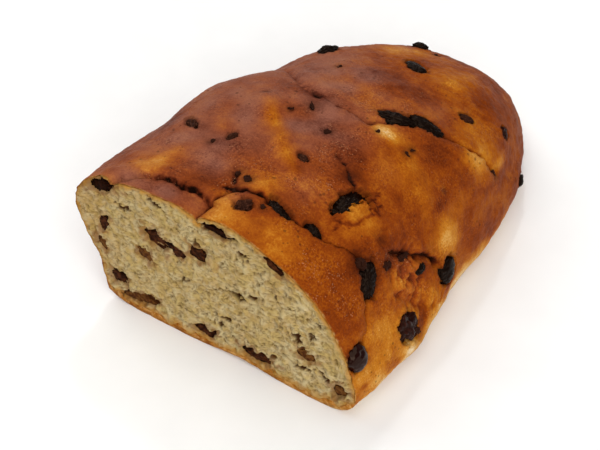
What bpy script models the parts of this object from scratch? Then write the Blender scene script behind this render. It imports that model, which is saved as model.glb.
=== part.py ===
# The cut half of a currant loaf, lying on its flat base.
#
# Metres, +Z up. The cut face looks towards -Y and the round baked end towards +Y. The origin
# is on the base, in the middle of the plan.
#
# Places on the crust are (around, along) in millimetres. Around is measured over the outline
# of the section from its crown, positive to the right as seen from the cut. Along is measured
# from the cut towards the round end. Places on the cut face are (x, z) in millimetres from the
# middle of the base.

import math

import bmesh
import bpy
import numpy as np
from mathutils import Matrix, Vector, noise

MM = 0.001

# Driving dimensions
WIDTH = 115 * MM
HEIGHT = 66 * MM
LENGTH = 166 * MM
CUT_SKEW = math.radians(5.2)  # the knife went through a little askew
RAISIN_GAP = 0.32 * MM  # clear space between a raisin and its pocket

# Outline of the section as shares of half the width and of the height, clockwise from the crown
SECTION = (
    (0.00, 1.000), (0.28, 0.968), (0.52, 0.885), (0.72, 0.752), (0.845, 0.585), (0.925, 0.400),
    (0.992, 0.225), (0.985, 0.105), (0.90, 0.022), (0.76, 0.000), (0.25, 0.000), (-0.25, 0.000),
    (-0.68, 0.000), (-0.81, 0.045), (-0.842, 0.160), (-0.868, 0.310), (-0.945, 0.470),
    (-1.00, 0.640), (-0.955, 0.790), (-0.80, 0.915), (-0.53, 0.985), (-0.25, 1.000),
)
STEPS_PER_SPAN = 24

# How the section closes towards the round end
TAPER_START = 12.5 * MM
PLAN_POWER = 2.21
CROWN_POWER = 1.92
BASE_TAPER_START = 95 * MM  # the base is flat up to here
BASE_POWER = 3.0
TIP_HEIGHT = 10 * MM
END_BEND = 4.2 * MM

# Mesh density
TURNS = 70
RINGS = 44
BASE_DENSITY = 0.32  # faces across the flat base, as a share of those over the crust
BEHIND_CUT = 14 * MM
CAP_START = 0.80  # share of the rings that run straight before the round end
CAP_ALONG = 126 * MM
CRUMB_STEP = 3.8 * MM
CRUMB_RELIEF = 0.45 * MM
KNIFE_DEPTH = 60 * MM

# Broad swells and hollows of the crust: around, along, reach around, reach along, height
SWELLS = (
    (-56, 6, 14, 12, 1.1), (-53, 64, 20, 15, 3.0), (-51, 91, 13, 9, -1.9), (-49, 111, 14, 10, 0.9),
    (-27, 48, 14, 14, 0.7), (-6, 46, 7, 15, 0.9), (-24, 63, 10, 8, 0.8), (-8, 62, 9, 8, -0.8),
    (-10, 100, 16, 13, 0.9), (11, 112, 15, 10, -0.8), (14, 128, 13, 10, 0.9), (36, 152, 16, 12, -1.0),
    (20, 66, 13, 11, 0.6), (36, 37, 11, 10, 1.5), (38, 72, 12, 14, 0.8), (61, 70, 10, 9, 1.8),
    (47, 89, 14, 8, 1.0), (50, 101, 7, 5, 0.9), (70, 92, 12, 12, 0.8), (58, 118, 12, 9, 0.7),
    (30, 26, 10, 7, -0.8), (66, 46, 12, 9, -1.5), (68, 27, 10, 9, 1.0), (92, 36, 9, 10, 2.4),
    (91, 15, 10, 12, 1.7), (90, 74, 12, 16, -2.3), (86, 122, 10, 9, 0.8),
    (-7, 1, 6, 8, -2.4), (9, 5, 9, 9, 1.5), (24, 8, 11, 8, 0.8), (47, 10, 14, 8, 0.7),
)

# Laps of dough that baked over each other. The path runs from left to right. Lip heights
# are those of the far and the near side, with how far each reaches, and the groove is between.
FOLDS = (
    {"path": ((-42, 1), (-31, 8), (-22, 9.5), (-14, 9), (-5, 7)),
     "far": (1.5, 7), "near": (-0.3, 6), "groove": (1.3, 2.8)},
    {"path": ((-5, 7), (-2, 15), (2, 18), (17, 17), (31, 19), (45, 24), (58, 17), (69, 10), (71, 4)),
     "far": (0.8, 7), "near": (1.7, 9), "groove": (2.8, 3.2)},
    {"path": ((-6, 76), (10, 75), (19, 88), (35, 95), (50, 103), (62, 107)),
     "far": (0.6, 8), "near": (1.5, 8), "groove": (2.6, 3.2)},
    {"path": ((-40, 87), (-27, 80), (-15, 77)),
     "far": (0.8, 8), "near": (0.7, 8), "groove": (2.2, 3.8)},
    {"path": ((12, 54), (19, 49), (27, 44)),
     "far": (0.5, 5), "near": (0.5, 5), "groove": (1.5, 2.8)},
    {"path": ((52, 40), (58, 48), (65, 56), (70, 56)),
     "far": (0.8, 5), "near": (0.2, 5), "groove": (2.0, 2.8)},
    {"path": ((58, 33), (65, 32), (73, 38), (84, 50)),
     "far": (0.5, 5), "near": (0.7, 5), "groove": (1.6, 2.8)},
)

# Where the bottom of the cut face lifts off the table: x, along, reach, height
LIFTS = ((11, 0, 12, 2.0), (-46, 2, 9, 0.8))

# Raisins in the crust: around, along, length, width, turn from the loaf's length in degrees,
# and how far it stands proud of the crust
CRUST_RAISINS = (
    (29.5, 38.5, 17.0, 8.2, 5, 1.0),
    (52.5, 24.0, 12.5, 5.4, 127, 1.2),
    (66.5, 50.0, 5.8, 3.6, 5, 0.9),
    (76.8, 63.0, 10.6, 5.2, -11, 1.0),
    (80.0, 33.0, 11.0, 6.4, 77, 1.1),
    (73.5, 6.0, 8.4, 7.6, 0, 2.2),
    (-7.5, 124.0, 12.4, 5.2, 110, 0.7),
    (-37.0, 147.0, 6.6, 5.4, 40, 2.5),
    (-43.5, 109.5, 10.0, 5.4, -3, 2.0),
    (14.0, 86.0, 7.2, 4.6, 65, 1.0),
    (24.0, 92.3, 11.2, 4.8, 69, 1.0),
    (31.3, 112.5, 7.8, 3.8, 50, 0.9),
    (52.8, 127.5, 5.6, 4.0, 118, 0.8),
    (89.0, 128.5, 6.2, 4.6, 170, 1.6),
    (4.3, 44.0, 4.8, 3.8, 122, 0.5),
    (-21.2, 38.5, 5.4, 3.6, 14, 0.5),
    (-38.7, 38.0, 8.4, 4.2, 115, 0.5),
    (5.3, 11.0, 5.8, 4.6, 17, 0.5),
    (14.8, 18.2, 12.6, 4.2, 104, 2.0),
    (27.5, 20.0, 7.2, 3.8, 98, 1.4),
)
# Fruit that the knife went through: x, z, length, width, turn in degrees from level
CRUMB_RAISINS = (
    (-45.5, 58.2, 12.4, 5.4, 21),
    (3.0, 62.2, 8.4, 4.0, -4),
    (25.4, 58.6, 8.0, 3.8, -38),
    (-22.6, 43.6, 10.6, 7.2, -38),
    (-14.4, 43.0, 6.8, 3.8, -30),
    (-6.0, 46.4, 8.0, 5.4, -5),
    (-28.2, 32.8, 7.0, 4.8, -38),
    (-46.0, 39.2, 8.5, 3.4, 78),
    (-47.6, 28.4, 7.4, 3.8, -56),
    (-42.0, 13.4, 7.6, 5.6, -24),
    (-32.4, 7.6, 16.0, 4.8, 14),
    (-4.4, 7.4, 9.0, 4.6, 0),
    (18.0, 8.0, 13.2, 5.0, -4),
    (37.4, 21.6, 8.2, 4.2, -10),
    (51.4, 11.0, 8.4, 5.2, 50),
)
CRUMB_RAISIN_PROUD = 0.6 * MM
RAISIN_THICKNESS = 0.86  # of its width
RAISIN_WRINKLE = 0.10
RAISIN_SEGMENTS = 8
RAISIN_RINGS = 6


# ---------------------------------------------------------------- scene and materials

def clear_scene():
    for obj in list(bpy.data.objects):
        bpy.data.objects.remove(obj, do_unlink=True)


def add_collection(name):
    collection = bpy.data.collections.new(name)
    bpy.context.scene.collection.children.link(collection)
    return collection


def add_material(name, color, roughness):
    material = bpy.data.materials.new(name)
    material.use_nodes = True
    shader = material.node_tree.nodes["Principled BSDF"]
    shader.inputs["Base Color"].default_value = (*color, 1.0)
    shader.inputs["Roughness"].default_value = roughness
    shader.inputs["Metallic"].default_value = 0.0
    material.diffuse_color = (*color, 1.0)
    return material


def add_object(name, mesh_builder, collection, material):
    """Turns a closed bmesh into an object, faces outwards and shaded smooth, and frees the bmesh."""
    if mesh_builder.calc_volume(signed=True) < 0:
        bmesh.ops.reverse_faces(mesh_builder, faces=mesh_builder.faces)
    mesh = bpy.data.meshes.new(name)
    mesh_builder.to_mesh(mesh)
    mesh_builder.free()
    mesh.materials.append(material)
    mesh.shade_smooth()
    mesh.set_sharp_from_angle(angle=math.radians(50))
    obj = bpy.data.objects.new(name, mesh)
    collection.objects.link(obj)
    return obj


def make_helper(obj):
    obj.hide_render = True
    obj.display_type = "WIRE"


# ---------------------------------------------------------------- form of the loaf

def closed_curve(points, steps):
    """A smooth closed curve through the points, whose tangents allow for uneven spacing."""
    points = np.array(points)
    spans = np.roll(points, -1, axis=0) - points
    lengths = np.linalg.norm(spans, axis=1)[:, None]
    slopes = spans / lengths
    before = np.roll(slopes, 1, axis=0)
    before_length = np.roll(lengths, 1, axis=0)
    tangents = (slopes * before_length + before * lengths) / (lengths + before_length)
    curve = []
    for i in range(len(points)):
        j = (i + 1) % len(points)
        t = np.linspace(0, 1, steps, endpoint=False)[:, None]
        curve.append(
            (2 * t**3 - 3 * t**2 + 1) * points[i] + (t**3 - 2 * t**2 + t) * tangents[i] * lengths[i]
            + (3 * t**2 - 2 * t**3) * points[j] + (t**3 - t**2) * tangents[j] * lengths[i]
        )
    return np.concatenate(curve + [points[:1]])


def closing(along, start, power):
    """How much of its size the section keeps: all of it up to the start, and none at the tip."""
    share = min(max((along - start) / (LENGTH - start), 0), 1)
    return (1 - share**power) ** (1 / power)


class Form:
    """The smooth form of the loaf, before relief."""

    def __init__(self):
        shares = np.array(SECTION) * (WIDTH / 2, HEIGHT)
        outline = closed_curve(shares, STEPS_PER_SPAN)
        outline[:, 1] = np.maximum(outline[:, 1], 0)
        steps = np.linalg.norm(np.diff(outline, axis=0), axis=1)
        self.x = outline[:, 0]
        self.z = outline[:, 1]
        self.reach = np.concatenate([[0], np.cumsum(steps)])
        self.perimeter = self.reach[-1]
        on_base = (outline[:-1, 1] < 0.5 * MM) & (outline[1:, 1] < 0.5 * MM)
        weights = np.concatenate([[0], np.cumsum(steps * np.where(on_base, BASE_DENSITY, 1))])
        self.share = weights / weights[-1]

    def around(self, share):
        """Distance around for a share of the turns, with wider turns over the flat base."""
        return float(np.interp(share % 1, self.share, self.reach))

    def point(self, around, along):
        around = around % self.perimeter
        x = float(np.interp(around, self.reach, self.x))
        z = float(np.interp(around, self.reach, self.z))
        straight = min(max(along / LENGTH, 0), 1)
        narrow = closing(along, TAPER_START, PLAN_POWER)
        if z > TIP_HEIGHT:
            low = closing(along, TAPER_START, CROWN_POWER)
        else:
            low = closing(along, BASE_TAPER_START, BASE_POWER)
        return Vector((
            x * narrow + END_BEND * straight**1.5,
            along + math.tan(CUT_SKEW) * x * (1 - straight),
            TIP_HEIGHT + (z - TIP_HEIGHT) * low,
        ))

    def axes(self, around, along):
        """Directions along, around and outwards at a place on the crust."""
        step = 0.5 * MM
        forward = (self.point(around, along + step) - self.point(around, along - step)).normalized()
        sideways = self.point(around + step, along) - self.point(around - step, along)
        outwards = sideways.cross(forward).normalized()
        return forward, forward.cross(outwards), outwards


def bell(distance):
    return math.exp(-distance * distance)


def side_of_path(path, around, along):
    """Distance to a path and on which side: positive is beyond it, towards the round end."""
    place = Vector((around, along))
    nearest = None
    for start, end in zip(path, path[1:]):
        start = Vector(start)
        span = Vector(end) - start
        share = min(max((place - start).dot(span) / span.length_squared, 0), 1)
        offset = place - (start + span * share)
        if nearest is None or offset.length < nearest[0]:
            nearest = (offset.length, span.x * offset.y - span.y * offset.x)
    return math.copysign(nearest[0], nearest[1])


def fold_height(fold, around, along):
    side = side_of_path(fold["path"], around, along)
    lip, reach = fold["far"] if side > 0 else fold["near"]
    depth, half_width = fold["groove"]
    return lip * bell(side / reach) - depth * bell(side / half_width)


def relief(around, along):
    """Height of the crust over the smooth form, in metres, at a place in metres."""
    around, along = around / MM, along / MM
    height = 0.0
    for middle, far, reach_around, reach_along, swell in SWELLS:
        away = math.hypot((around - middle) / reach_around, (along - far) / reach_along)
        height += swell * bell(away)
    for fold in FOLDS:
        height += fold_height(fold, around, along)
    height += 0.55 * noise.noise(Vector((around / 15, along / 15, 3.1)))
    height += 0.30 * noise.noise(Vector((around / 6, along / 6, 7.7)))
    return height * MM


def lift(x, along):
    return sum(
        height * MM * bell(math.hypot(x / MM - middle, along / MM - far) / reach)
        for middle, far, reach, height in LIFTS
    )


def crust_point(form, around, along):
    """A point of the crust with its relief, which fades out where the loaf meets the table."""
    if around > form.perimeter / 2:
        around -= form.perimeter
    point = form.point(around, along)
    fade = min(max(point.z / (6 * MM), 0), 1)
    fade = fade * fade * (3 - 2 * fade)
    ending = min(max((LENGTH - along) / (14 * MM), 0), 1)
    point += form.axes(around, min(along, LENGTH - 1 * MM))[2] * relief(around, along) * fade * ending
    point.z = max(point.z, 0) + lift(point.x, along) * (1 - fade)
    return point


def ring_along(share):
    """Where a ring of vertices lies: even steps over the body, then ever closer at the end."""
    if share < CAP_START:
        return -BEHIND_CUT + (CAP_ALONG + BEHIND_CUT) * share / CAP_START
    rest = (1 - share) / (1 - CAP_START)
    return LENGTH - (LENGTH - CAP_ALONG) * rest**1.7


def to_frame(point):
    """Moves a point from the middle of the cut to the origin, in the middle of the plan."""
    return point - Vector((0, LENGTH / 2, 0))


# ---------------------------------------------------------------- loaf

def build_crust(form, collection, material):
    """A sphere whose poles lie along the loaf, with each vertex moved to its place."""
    mesh_builder = bmesh.new()
    bmesh.ops.create_uvsphere(mesh_builder, u_segments=TURNS, v_segments=RINGS, radius=1)
    for vertex in mesh_builder.verts:
        turn = math.atan2(vertex.co.x, vertex.co.y) / math.tau
        ring = 1 - math.acos(max(-1, min(1, vertex.co.z))) / math.pi
        vertex.co = to_frame(crust_point(form, form.around(turn), ring_along(ring)))
    bmesh.ops.triangulate(mesh_builder, faces=mesh_builder.faces)
    return add_object("loaf", mesh_builder, collection, material)


def build_knife(collection, material):
    """The block that the knife takes away. Its far face carries the relief of the crumb."""
    mesh_builder = bmesh.new()
    half_width = WIDTH * 0.62
    top = HEIGHT + 12 * MM
    floor = -8 * MM
    columns = round(2 * half_width / CRUMB_STEP)
    rows = round((top - floor) / CRUMB_STEP)
    bmesh.ops.create_grid(mesh_builder, x_segments=columns, y_segments=rows, size=1)
    for vertex in mesh_builder.verts:
        x = vertex.co.x * half_width
        z = floor + (vertex.co.y + 1) / 2 * (top - floor)
        waves = noise.noise(Vector((x, z, 0)) / (11 * MM)) + 0.8 * noise.noise(Vector((x, 9, z)) / (4 * MM))
        vertex.co = to_frame(Vector((x, math.tan(CUT_SKEW) * x + waves * CRUMB_RELIEF, z)))
    back = bmesh.ops.extrude_face_region(mesh_builder, geom=mesh_builder.faces, use_keep_orig=True)
    for item in back["geom"]:
        if isinstance(item, bmesh.types.BMVert):
            item.co.y = -KNIFE_DEPTH - LENGTH / 2
    bmesh.ops.recalc_face_normals(mesh_builder, faces=mesh_builder.faces)
    knife = add_object("knife_cut", mesh_builder, collection, material)
    make_helper(knife)
    return knife


def add_cut(obj, operand, name):
    """A Boolean that takes an object, or all of a collection, away."""
    cut = obj.modifiers.new(name, "BOOLEAN")
    cut.operation = "DIFFERENCE"
    cut.solver = "EXACT"
    cut.material_mode = "TRANSFER"
    if isinstance(operand, bpy.types.Collection):
        cut.operand_type = "COLLECTION"
        cut.collection = operand
    else:
        cut.object = operand


# ---------------------------------------------------------------- raisins

def raisin_mesh(length, width, seed, margin):
    """A wrinkled egg shape, its length on X, grown by the margin."""
    mesh_builder = bmesh.new()
    bmesh.ops.create_uvsphere(
        mesh_builder, u_segments=RAISIN_SEGMENTS, v_segments=RAISIN_RINGS, radius=0.5
    )
    thickness = width * RAISIN_THICKNESS
    for vertex in mesh_builder.verts:
        along, across, up = vertex.co.z, vertex.co.x, vertex.co.y
        crease = 1 + RAISIN_WRINKLE * noise.noise(vertex.co * 3.4 + Vector((seed * 5.3, seed, 0)))
        blunt = 1 + 0.35 * (abs(along) * 2) ** 2 * (1 - abs(along) * 2)
        size = Vector((length * along, width * across * blunt, thickness * up * blunt)) * crease
        direction = Vector((along, across, up)).normalized()
        vertex.co = size + direction * margin
    return mesh_builder


def build_raisin(name, place, length, width, seed, parts, pockets, materials):
    """A raisin and the cutter of its pocket, both at the place, given as a matrix."""
    for target, margin in ((parts, 0.0), (pockets, RAISIN_GAP)):
        mesh_builder = raisin_mesh(length, width, seed, margin)
        label = name if margin == 0 else name + "_pocket"
        obj = add_object(label, mesh_builder, target, materials["raisin" if margin == 0 else "crumb"])
        obj.matrix_world = place
        if margin:
            make_helper(obj)


def frame_matrix(origin, first, third):
    """A placing matrix from its origin, its X direction and its Z direction."""
    second = third.cross(first)
    turn = Matrix((first, second, third)).transposed().to_4x4()
    return Matrix.Translation(origin) @ turn


def build_crust_raisins(form, parts, pockets, materials):
    for number, (around, along, length, width, turn, proud) in enumerate(CRUST_RAISINS, 1):
        around, along = around * MM, along * MM
        forward, sideways, outwards = form.axes(around, along)
        angle = math.radians(turn)
        direction = forward * math.cos(angle) + sideways * math.sin(angle)
        sunk = (width * RAISIN_THICKNESS / 2 - proud) * MM
        centre = to_frame(crust_point(form, around % form.perimeter, along) - outwards * sunk)
        place = frame_matrix(centre, direction, outwards)
        build_raisin(f"crust_raisin_{number:02d}", place, length * MM, width * MM, number,
                     parts, pockets, materials)


def build_crumb_raisins(parts, pockets, materials):
    level = Vector((math.cos(CUT_SKEW), math.sin(CUT_SKEW), 0))
    outwards = Vector((math.sin(CUT_SKEW), -math.cos(CUT_SKEW), 0))
    for number, (x, z, length, width, turn) in enumerate(CRUMB_RAISINS, 1):
        angle = math.radians(turn)
        direction = level * math.cos(angle) + Vector((0, 0, math.sin(angle)))
        sunk = width * RAISIN_THICKNESS / 2 * MM - CRUMB_RAISIN_PROUD
        on_cut = Vector((x * MM, math.tan(CUT_SKEW) * x * MM, z * MM))
        place = frame_matrix(to_frame(on_cut - outwards * sunk), direction, outwards)
        build_raisin(f"crumb_raisin_{number:02d}", place, length * MM, width * MM, 40 + number,
                     parts, pockets, materials)


# ---------------------------------------------------------------- build

def main():
    clear_scene()
    parts = add_collection("currant_bread")
    cutters = add_collection("cutters")
    pockets = bpy.data.collections.new("pockets")
    cutters.children.link(pockets)
    materials = {
        "crust": add_material("crust", (0.33, 0.085, 0.022), 0.42),
        "crumb": add_material("crumb", (0.50, 0.40, 0.20), 0.85),
        "raisin": add_material("raisin", (0.010, 0.008, 0.009), 0.38),
    }
    form = Form()
    loaf = build_crust(form, parts, materials["crust"])
    loaf.data.materials.append(materials["crumb"])
    add_cut(loaf, build_knife(cutters, materials["crumb"]), "knife")
    build_crust_raisins(form, parts, pockets, materials)
    build_crumb_raisins(parts, pockets, materials)
    add_cut(loaf, pockets, "pockets")
    bpy.context.view_layer.update()


main()
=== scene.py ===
import math

import bmesh
import bpy
import numpy as np
from mathutils import Matrix, Vector, noise


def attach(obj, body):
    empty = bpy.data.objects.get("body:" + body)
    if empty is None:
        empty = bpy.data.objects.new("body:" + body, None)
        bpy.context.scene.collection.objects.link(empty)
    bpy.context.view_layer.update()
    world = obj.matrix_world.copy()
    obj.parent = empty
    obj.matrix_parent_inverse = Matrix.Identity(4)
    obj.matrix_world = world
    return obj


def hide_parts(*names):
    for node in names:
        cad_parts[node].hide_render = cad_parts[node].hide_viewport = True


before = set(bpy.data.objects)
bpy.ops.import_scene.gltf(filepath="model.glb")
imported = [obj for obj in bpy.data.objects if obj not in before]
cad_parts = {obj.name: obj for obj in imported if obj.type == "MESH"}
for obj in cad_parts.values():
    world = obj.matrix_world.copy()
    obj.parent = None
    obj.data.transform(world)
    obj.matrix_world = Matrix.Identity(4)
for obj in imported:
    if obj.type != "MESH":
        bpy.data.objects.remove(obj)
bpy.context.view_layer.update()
print("frame loaded:", len(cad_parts), "nodes")

# Lengths below are millimetres, and metres = mm * millimetres. Places on the crust are
# (around, along): around is measured over the section from the crown, positive to the right as
# seen from the cut, and along from the cut towards the round end. Places on the cut face are
# (x, z) from the middle of its base.
mm = 0.001

bpy.context.scene.view_settings.view_transform = "Standard"  # keeps the crust's colours as mixed


# ------ small helpers

def smoothStep(low, high, value):
    share = np.clip((value - low) / (high - low), 0, 1)
    return share * share * (3 - 2 * share)


def bell(distance):
    return np.exp(-distance * distance)


def oval(x, y, middleX, middleY, reachX, reachY):
    # 1 in the middle of an oval place, falling away over its reach
    return bell(np.hypot((x - middleX) / reachX, (y - middleY) / reachY))


def patches(places, around, along):
    # the sum of oval places, each given as around, along, reach around, reach along, strength
    return sum(strength * oval(around, along, *place) for *place, strength in places)


def turned(x, z, middleX, middleZ, degrees):
    angle = math.radians(degrees)
    u = (x - middleX) * math.cos(angle) + (z - middleZ) * math.sin(angle)
    v = (z - middleZ) * math.cos(angle) - (x - middleX) * math.sin(angle)
    return u, v


def unit(vectors):
    return vectors / np.maximum(np.linalg.norm(vectors, axis=-1, keepdims=True), 1e-9)


def onPlane(x, y, level=0.0):
    return np.stack([x, y, np.full_like(x, level)], -1)


def bumps(points, size, seed=0):
    # soft noise about -0.5 to 0.5, each swell about size mm across
    spots = points / size + np.array((seed * 7.31, seed * 3.17, seed * 5.77))
    return np.array([noise.noise(spot) for spot in spots.tolist()])


def cellsAt(points, size, seed=0):
    # how far into its cell each point lies, in cell widths, and a random share for each cell
    spots = points / size + np.array((seed * 5.13, seed * 9.71, seed * 2.39))
    found = [noise.voronoi(spot) for spot in spots.tolist()]
    inside = np.array([distances[1] - distances[0] for distances, _ in found])
    centres = np.array([places[0][:] for _, places in found])
    share = np.sin(centres @ np.array((12.99, 78.23, 37.72))) * 43758.5
    return inside, share - np.floor(share)


def padded(values, count, last=0.0):
    # the values with a plain one for each of the points added behind them
    return np.concatenate([values, np.full((count,) + values.shape[1:], last)])


def facesOf(*corners):
    return np.stack(np.broadcast_arrays(*corners), -1).tolist()


def linear(hexColour):
    # sRGB hex to the linear values that a shader takes
    parts = [int(hexColour[i:i + 2], 16) / 255 for i in (1, 3, 5)]
    return tuple(p / 12.92 if p <= 0.04045 else ((p + 0.055) / 1.055) ** 2.4 for p in parts) + (1.0,)


class Output:
    # what comes out of a node, which can be added, subtracted and multiplied
    def __init__(self, socket):
        self.socket = socket
        self.tree = socket.id_data

    def maths(self, operation, other=0.0, clamp=False):
        settings = {"operation": operation, "use_clamp": clamp}
        return addNode(self.tree, "ShaderNodeMath", settings, {0: self, 1: other})

    def __add__(self, other):
        return self.maths("ADD", other)

    def __sub__(self, other):
        return self.maths("SUBTRACT", other)

    def __mul__(self, other):
        return self.maths("MULTIPLY", other)


def setInputs(node, inputs):
    # an input takes a plain value, or a link from the output given for it
    for name, value in inputs.items():
        if isinstance(value, Output):
            node.id_data.links.new(value.socket, node.inputs[name])
        else:
            node.inputs[name].default_value = value


def addNode(tree, kind, settings=None, inputs=None, output=0):
    # adds a node with its settings and inputs, and gives one of its outputs
    node = tree.nodes.new(kind)
    for name, value in (settings or {}).items():
        setattr(node, name, value)
    setInputs(node, inputs or {})
    return Output(node.outputs[output]) if len(node.outputs) else None


def placeOf(tree):
    return addNode(tree, "ShaderNodeTexCoord", output="Object")


def attributeOf(tree, name, output="Fac"):
    return addNode(tree, "ShaderNodeAttribute", {"attribute_name": name}, output=output)


def noiseOf(place, scale, detail=2.0, roughness=0.5, distortion=0.0, output="Fac"):
    inputs = {"Vector": place, "Scale": scale, "Detail": detail, "Roughness": roughness,
              "Distortion": distortion}
    return addNode(place.tree, "ShaderNodeTexNoise", inputs=inputs, output=output)


def cellsOf(place, scale, feature="F1"):
    inputs = {"Vector": place, "Scale": scale}
    return addNode(place.tree, "ShaderNodeTexVoronoi", {"feature": feature}, inputs, "Distance")


def easedOf(value, low, high):
    # 0 below the lower value and 1 above the higher
    inputs = {"Value": value, "From Min": low, "From Max": high}
    return addNode(value.tree, "ShaderNodeMapRange", {"interpolation_type": "SMOOTHSTEP"}, inputs)


def bumpOf(height, strength, deep, **under):
    # a bump of so many mm on top of another bump, if one is given
    inputs = {"Height": height, "Strength": strength, "Distance": deep * mm, **under}
    return addNode(height.tree, "ShaderNodeBump", inputs=inputs)


def rampOf(factor, stops):
    # a colour ramp from (position, hex) stops
    node = factor.tree.nodes.new("ShaderNodeValToRGB")
    setInputs(node, {"Fac": factor})
    ramp = node.color_ramp
    while len(ramp.elements) < len(stops):
        ramp.elements.new(0.5)
    for element, (position, colour) in zip(ramp.elements, stops):
        element.position = position
        element.color = linear(colour)
    return Output(node.outputs["Color"])


def mixed(factor, first, second):
    # two colours mixed, each given as hex or as an output
    tree = next(part.tree for part in (factor, first) if isinstance(part, Output))
    inputs = {0: factor}
    for place, colour in ((6, first), (7, second)):
        inputs[place] = linear(colour) if isinstance(colour, str) else colour
    return addNode(tree, "ShaderNodeMix", {"data_type": "RGBA"}, inputs, 2)


def tinted(colour, mark, share, tint):
    # the colour turned towards a tint where the piece carries a mark
    return mixed(attributeOf(colour.tree, mark) * share, colour, tint)


def startMaterial(name):
    material = bpy.data.materials.new(name)
    material.use_nodes = True
    tree = material.node_tree
    return material, tree, tree.nodes["Principled BSDF"]


def startTree(name, kinds):
    # a Geometry Nodes tree and its named inputs, given as name: kind
    tree = bpy.data.node_groups.new(name, "GeometryNodeTree")
    for label, kind in kinds.items():
        tree.interface.new_socket(label, in_out="INPUT", socket_type="NodeSocket" + kind)
    tree.interface.new_socket("Geometry", in_out="OUTPUT", socket_type="NodeSocketGeometry")
    return tree, {socket.name: Output(socket) for socket in tree.nodes.new("NodeGroupInput").outputs}


def finishTree(tree, shape, skin):
    # smooth, as plain mesh and in its material
    steps = {"SetShadeSmooth": {}, "RealizeInstances": {}, "SetMaterial": {"Material": skin}}
    for kind, inputs in steps.items():
        shape = addNode(tree, "GeometryNode" + kind, inputs={"Geometry": shape, **inputs})
    addNode(tree, "NodeGroupOutput", inputs={0: shape})
    return tree


def vectors(operation, first, second):
    inputs = {0: first, "Scale" if operation == "SCALE" else 1: second}
    return addNode(first.tree, "ShaderNodeVectorMath", {"operation": operation}, inputs)


def combined(tree, *parts):
    return addNode(tree, "ShaderNodeCombineXYZ", inputs=dict(enumerate(parts)))


def addObject(name, data):
    added = bpy.data.objects.new(name, data)
    bpy.context.scene.collection.objects.link(added)
    return added


def startMesh(name, points, faces=()):
    # a mesh from points in mm, along counted from the cut, moved to the frame's origin
    mesh = bpy.data.meshes.new(name)
    mesh.from_pydata((points * mm - np.array((0, loafLength / 2 * mm, 0))).tolist(), [], faces)
    return mesh


def addValues(mesh, values):
    # named values for the points, as plain numbers or as vectors
    for label, given in values.items():
        given = np.asarray(given, np.float32)
        kind, field = ("FLOAT", "value") if given.ndim == 1 else ("FLOAT_VECTOR", "vector")
        mesh.attributes.new(label, kind, "POINT").data.foreach_set(field, given.ravel())


def makePiece(name, points, faces, material, values):
    # a closed piece with its faces turned outwards
    mesh = startMesh(name, points, faces)
    work = bmesh.new()
    work.from_mesh(mesh)
    if work.calc_volume(signed=True) < 0:
        bmesh.ops.reverse_faces(work, faces=work.faces)
        work.to_mesh(mesh)
    work.free()
    addValues(mesh, values)
    mesh.shade_smooth()
    mesh.materials.append(material)
    print(name, "built:", len(faces), "faces")
    return addObject(name, mesh)


def grow(name, tree, values, start=None):
    # the plain mesh that a Geometry Nodes tree makes with these values of its inputs
    holder = addObject(name + "_grown", start or bpy.data.meshes.new(name + "_start"))
    modifier = holder.modifiers.new("grow", "NODES")
    modifier.node_group = tree
    for item in tree.interface.items_tree:
        if item.item_type == "SOCKET" and item.in_out == "INPUT" and item.name in values:
            modifier[item.identifier] = values[item.name]
    bpy.context.view_layer.update()
    graph = bpy.context.evaluated_depsgraph_get()
    mesh = bpy.data.meshes.new_from_object(holder.evaluated_get(graph))
    holder.modifiers.remove(modifier)
    bpy.data.objects.remove(holder)
    mesh.name = name
    return mesh


# ------ form of the loaf, as in the frame

loafForm = {
    "width": 115, "height": 66, "length": 166,
    "cutSkew": math.tan(math.radians(5.2)),
    "taperStart": 12.5, "planPower": 2.21, "crownPower": 1.92,
    "baseStart": 95, "basePower": 3,
    "tipHeight": 10, "endBend": 4.2,
    "reliefFade": 6, "endFade": 14,
}
loafLength, cutSkew, tipHeight = loafForm["length"], loafForm["cutSkew"], loafForm["tipHeight"]
# outline of the section as shares of half the width and of the height, clockwise from the crown
section = (
    (0, 1), (0.28, 0.968), (0.52, 0.885), (0.72, 0.752), (0.845, 0.585), (0.925, 0.4), (0.992, 0.225),
    (0.985, 0.105), (0.9, 0.022), (0.76, 0), (0.25, 0), (-0.25, 0), (-0.68, 0), (-0.81, 0.045),
    (-0.842, 0.16), (-0.868, 0.31), (-0.945, 0.47), (-1, 0.64), (-0.955, 0.79), (-0.8, 0.915),
    (-0.53, 0.985), (-0.25, 1),
)
# broad swells and hollows: around, along, reach around, reach along, height
swells = (
    (-56, 6, 14, 12, 1.1), (-53, 64, 20, 15, 3), (-51, 91, 13, 9, -1.9), (-49, 111, 14, 10, 0.9),
    (-27, 48, 14, 14, 0.7), (-6, 46, 7, 15, 0.9), (-24, 63, 10, 8, 0.8), (-8, 62, 9, 8, -0.8),
    (-10, 100, 16, 13, 0.9), (11, 112, 15, 10, -0.8), (14, 128, 13, 10, 0.9), (36, 152, 16, 12, -1),
    (20, 66, 13, 11, 0.6), (36, 37, 11, 10, 1.5), (38, 72, 12, 14, 0.8), (63, 68, 8, 7, 1.6),
    (47, 89, 14, 8, 1), (50, 101, 7, 5, 0.9), (70, 92, 12, 12, 0.8), (58, 118, 12, 9, 0.7),
    (30, 26, 10, 7, -0.8), (66, 46, 12, 9, -1.5), (68, 27, 10, 9, 1), (92, 36, 9, 10, 2.4),
    (91, 15, 10, 12, 1.7), (90, 74, 12, 16, -2.3), (86, 122, 10, 9, 0.8), (-4.5, 1, 6, 8, -2.4),
    (9, 5, 9, 9, 1.5), (24, 8, 11, 8, 0.8), (47, 10, 14, 8, 0.7),
)
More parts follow.
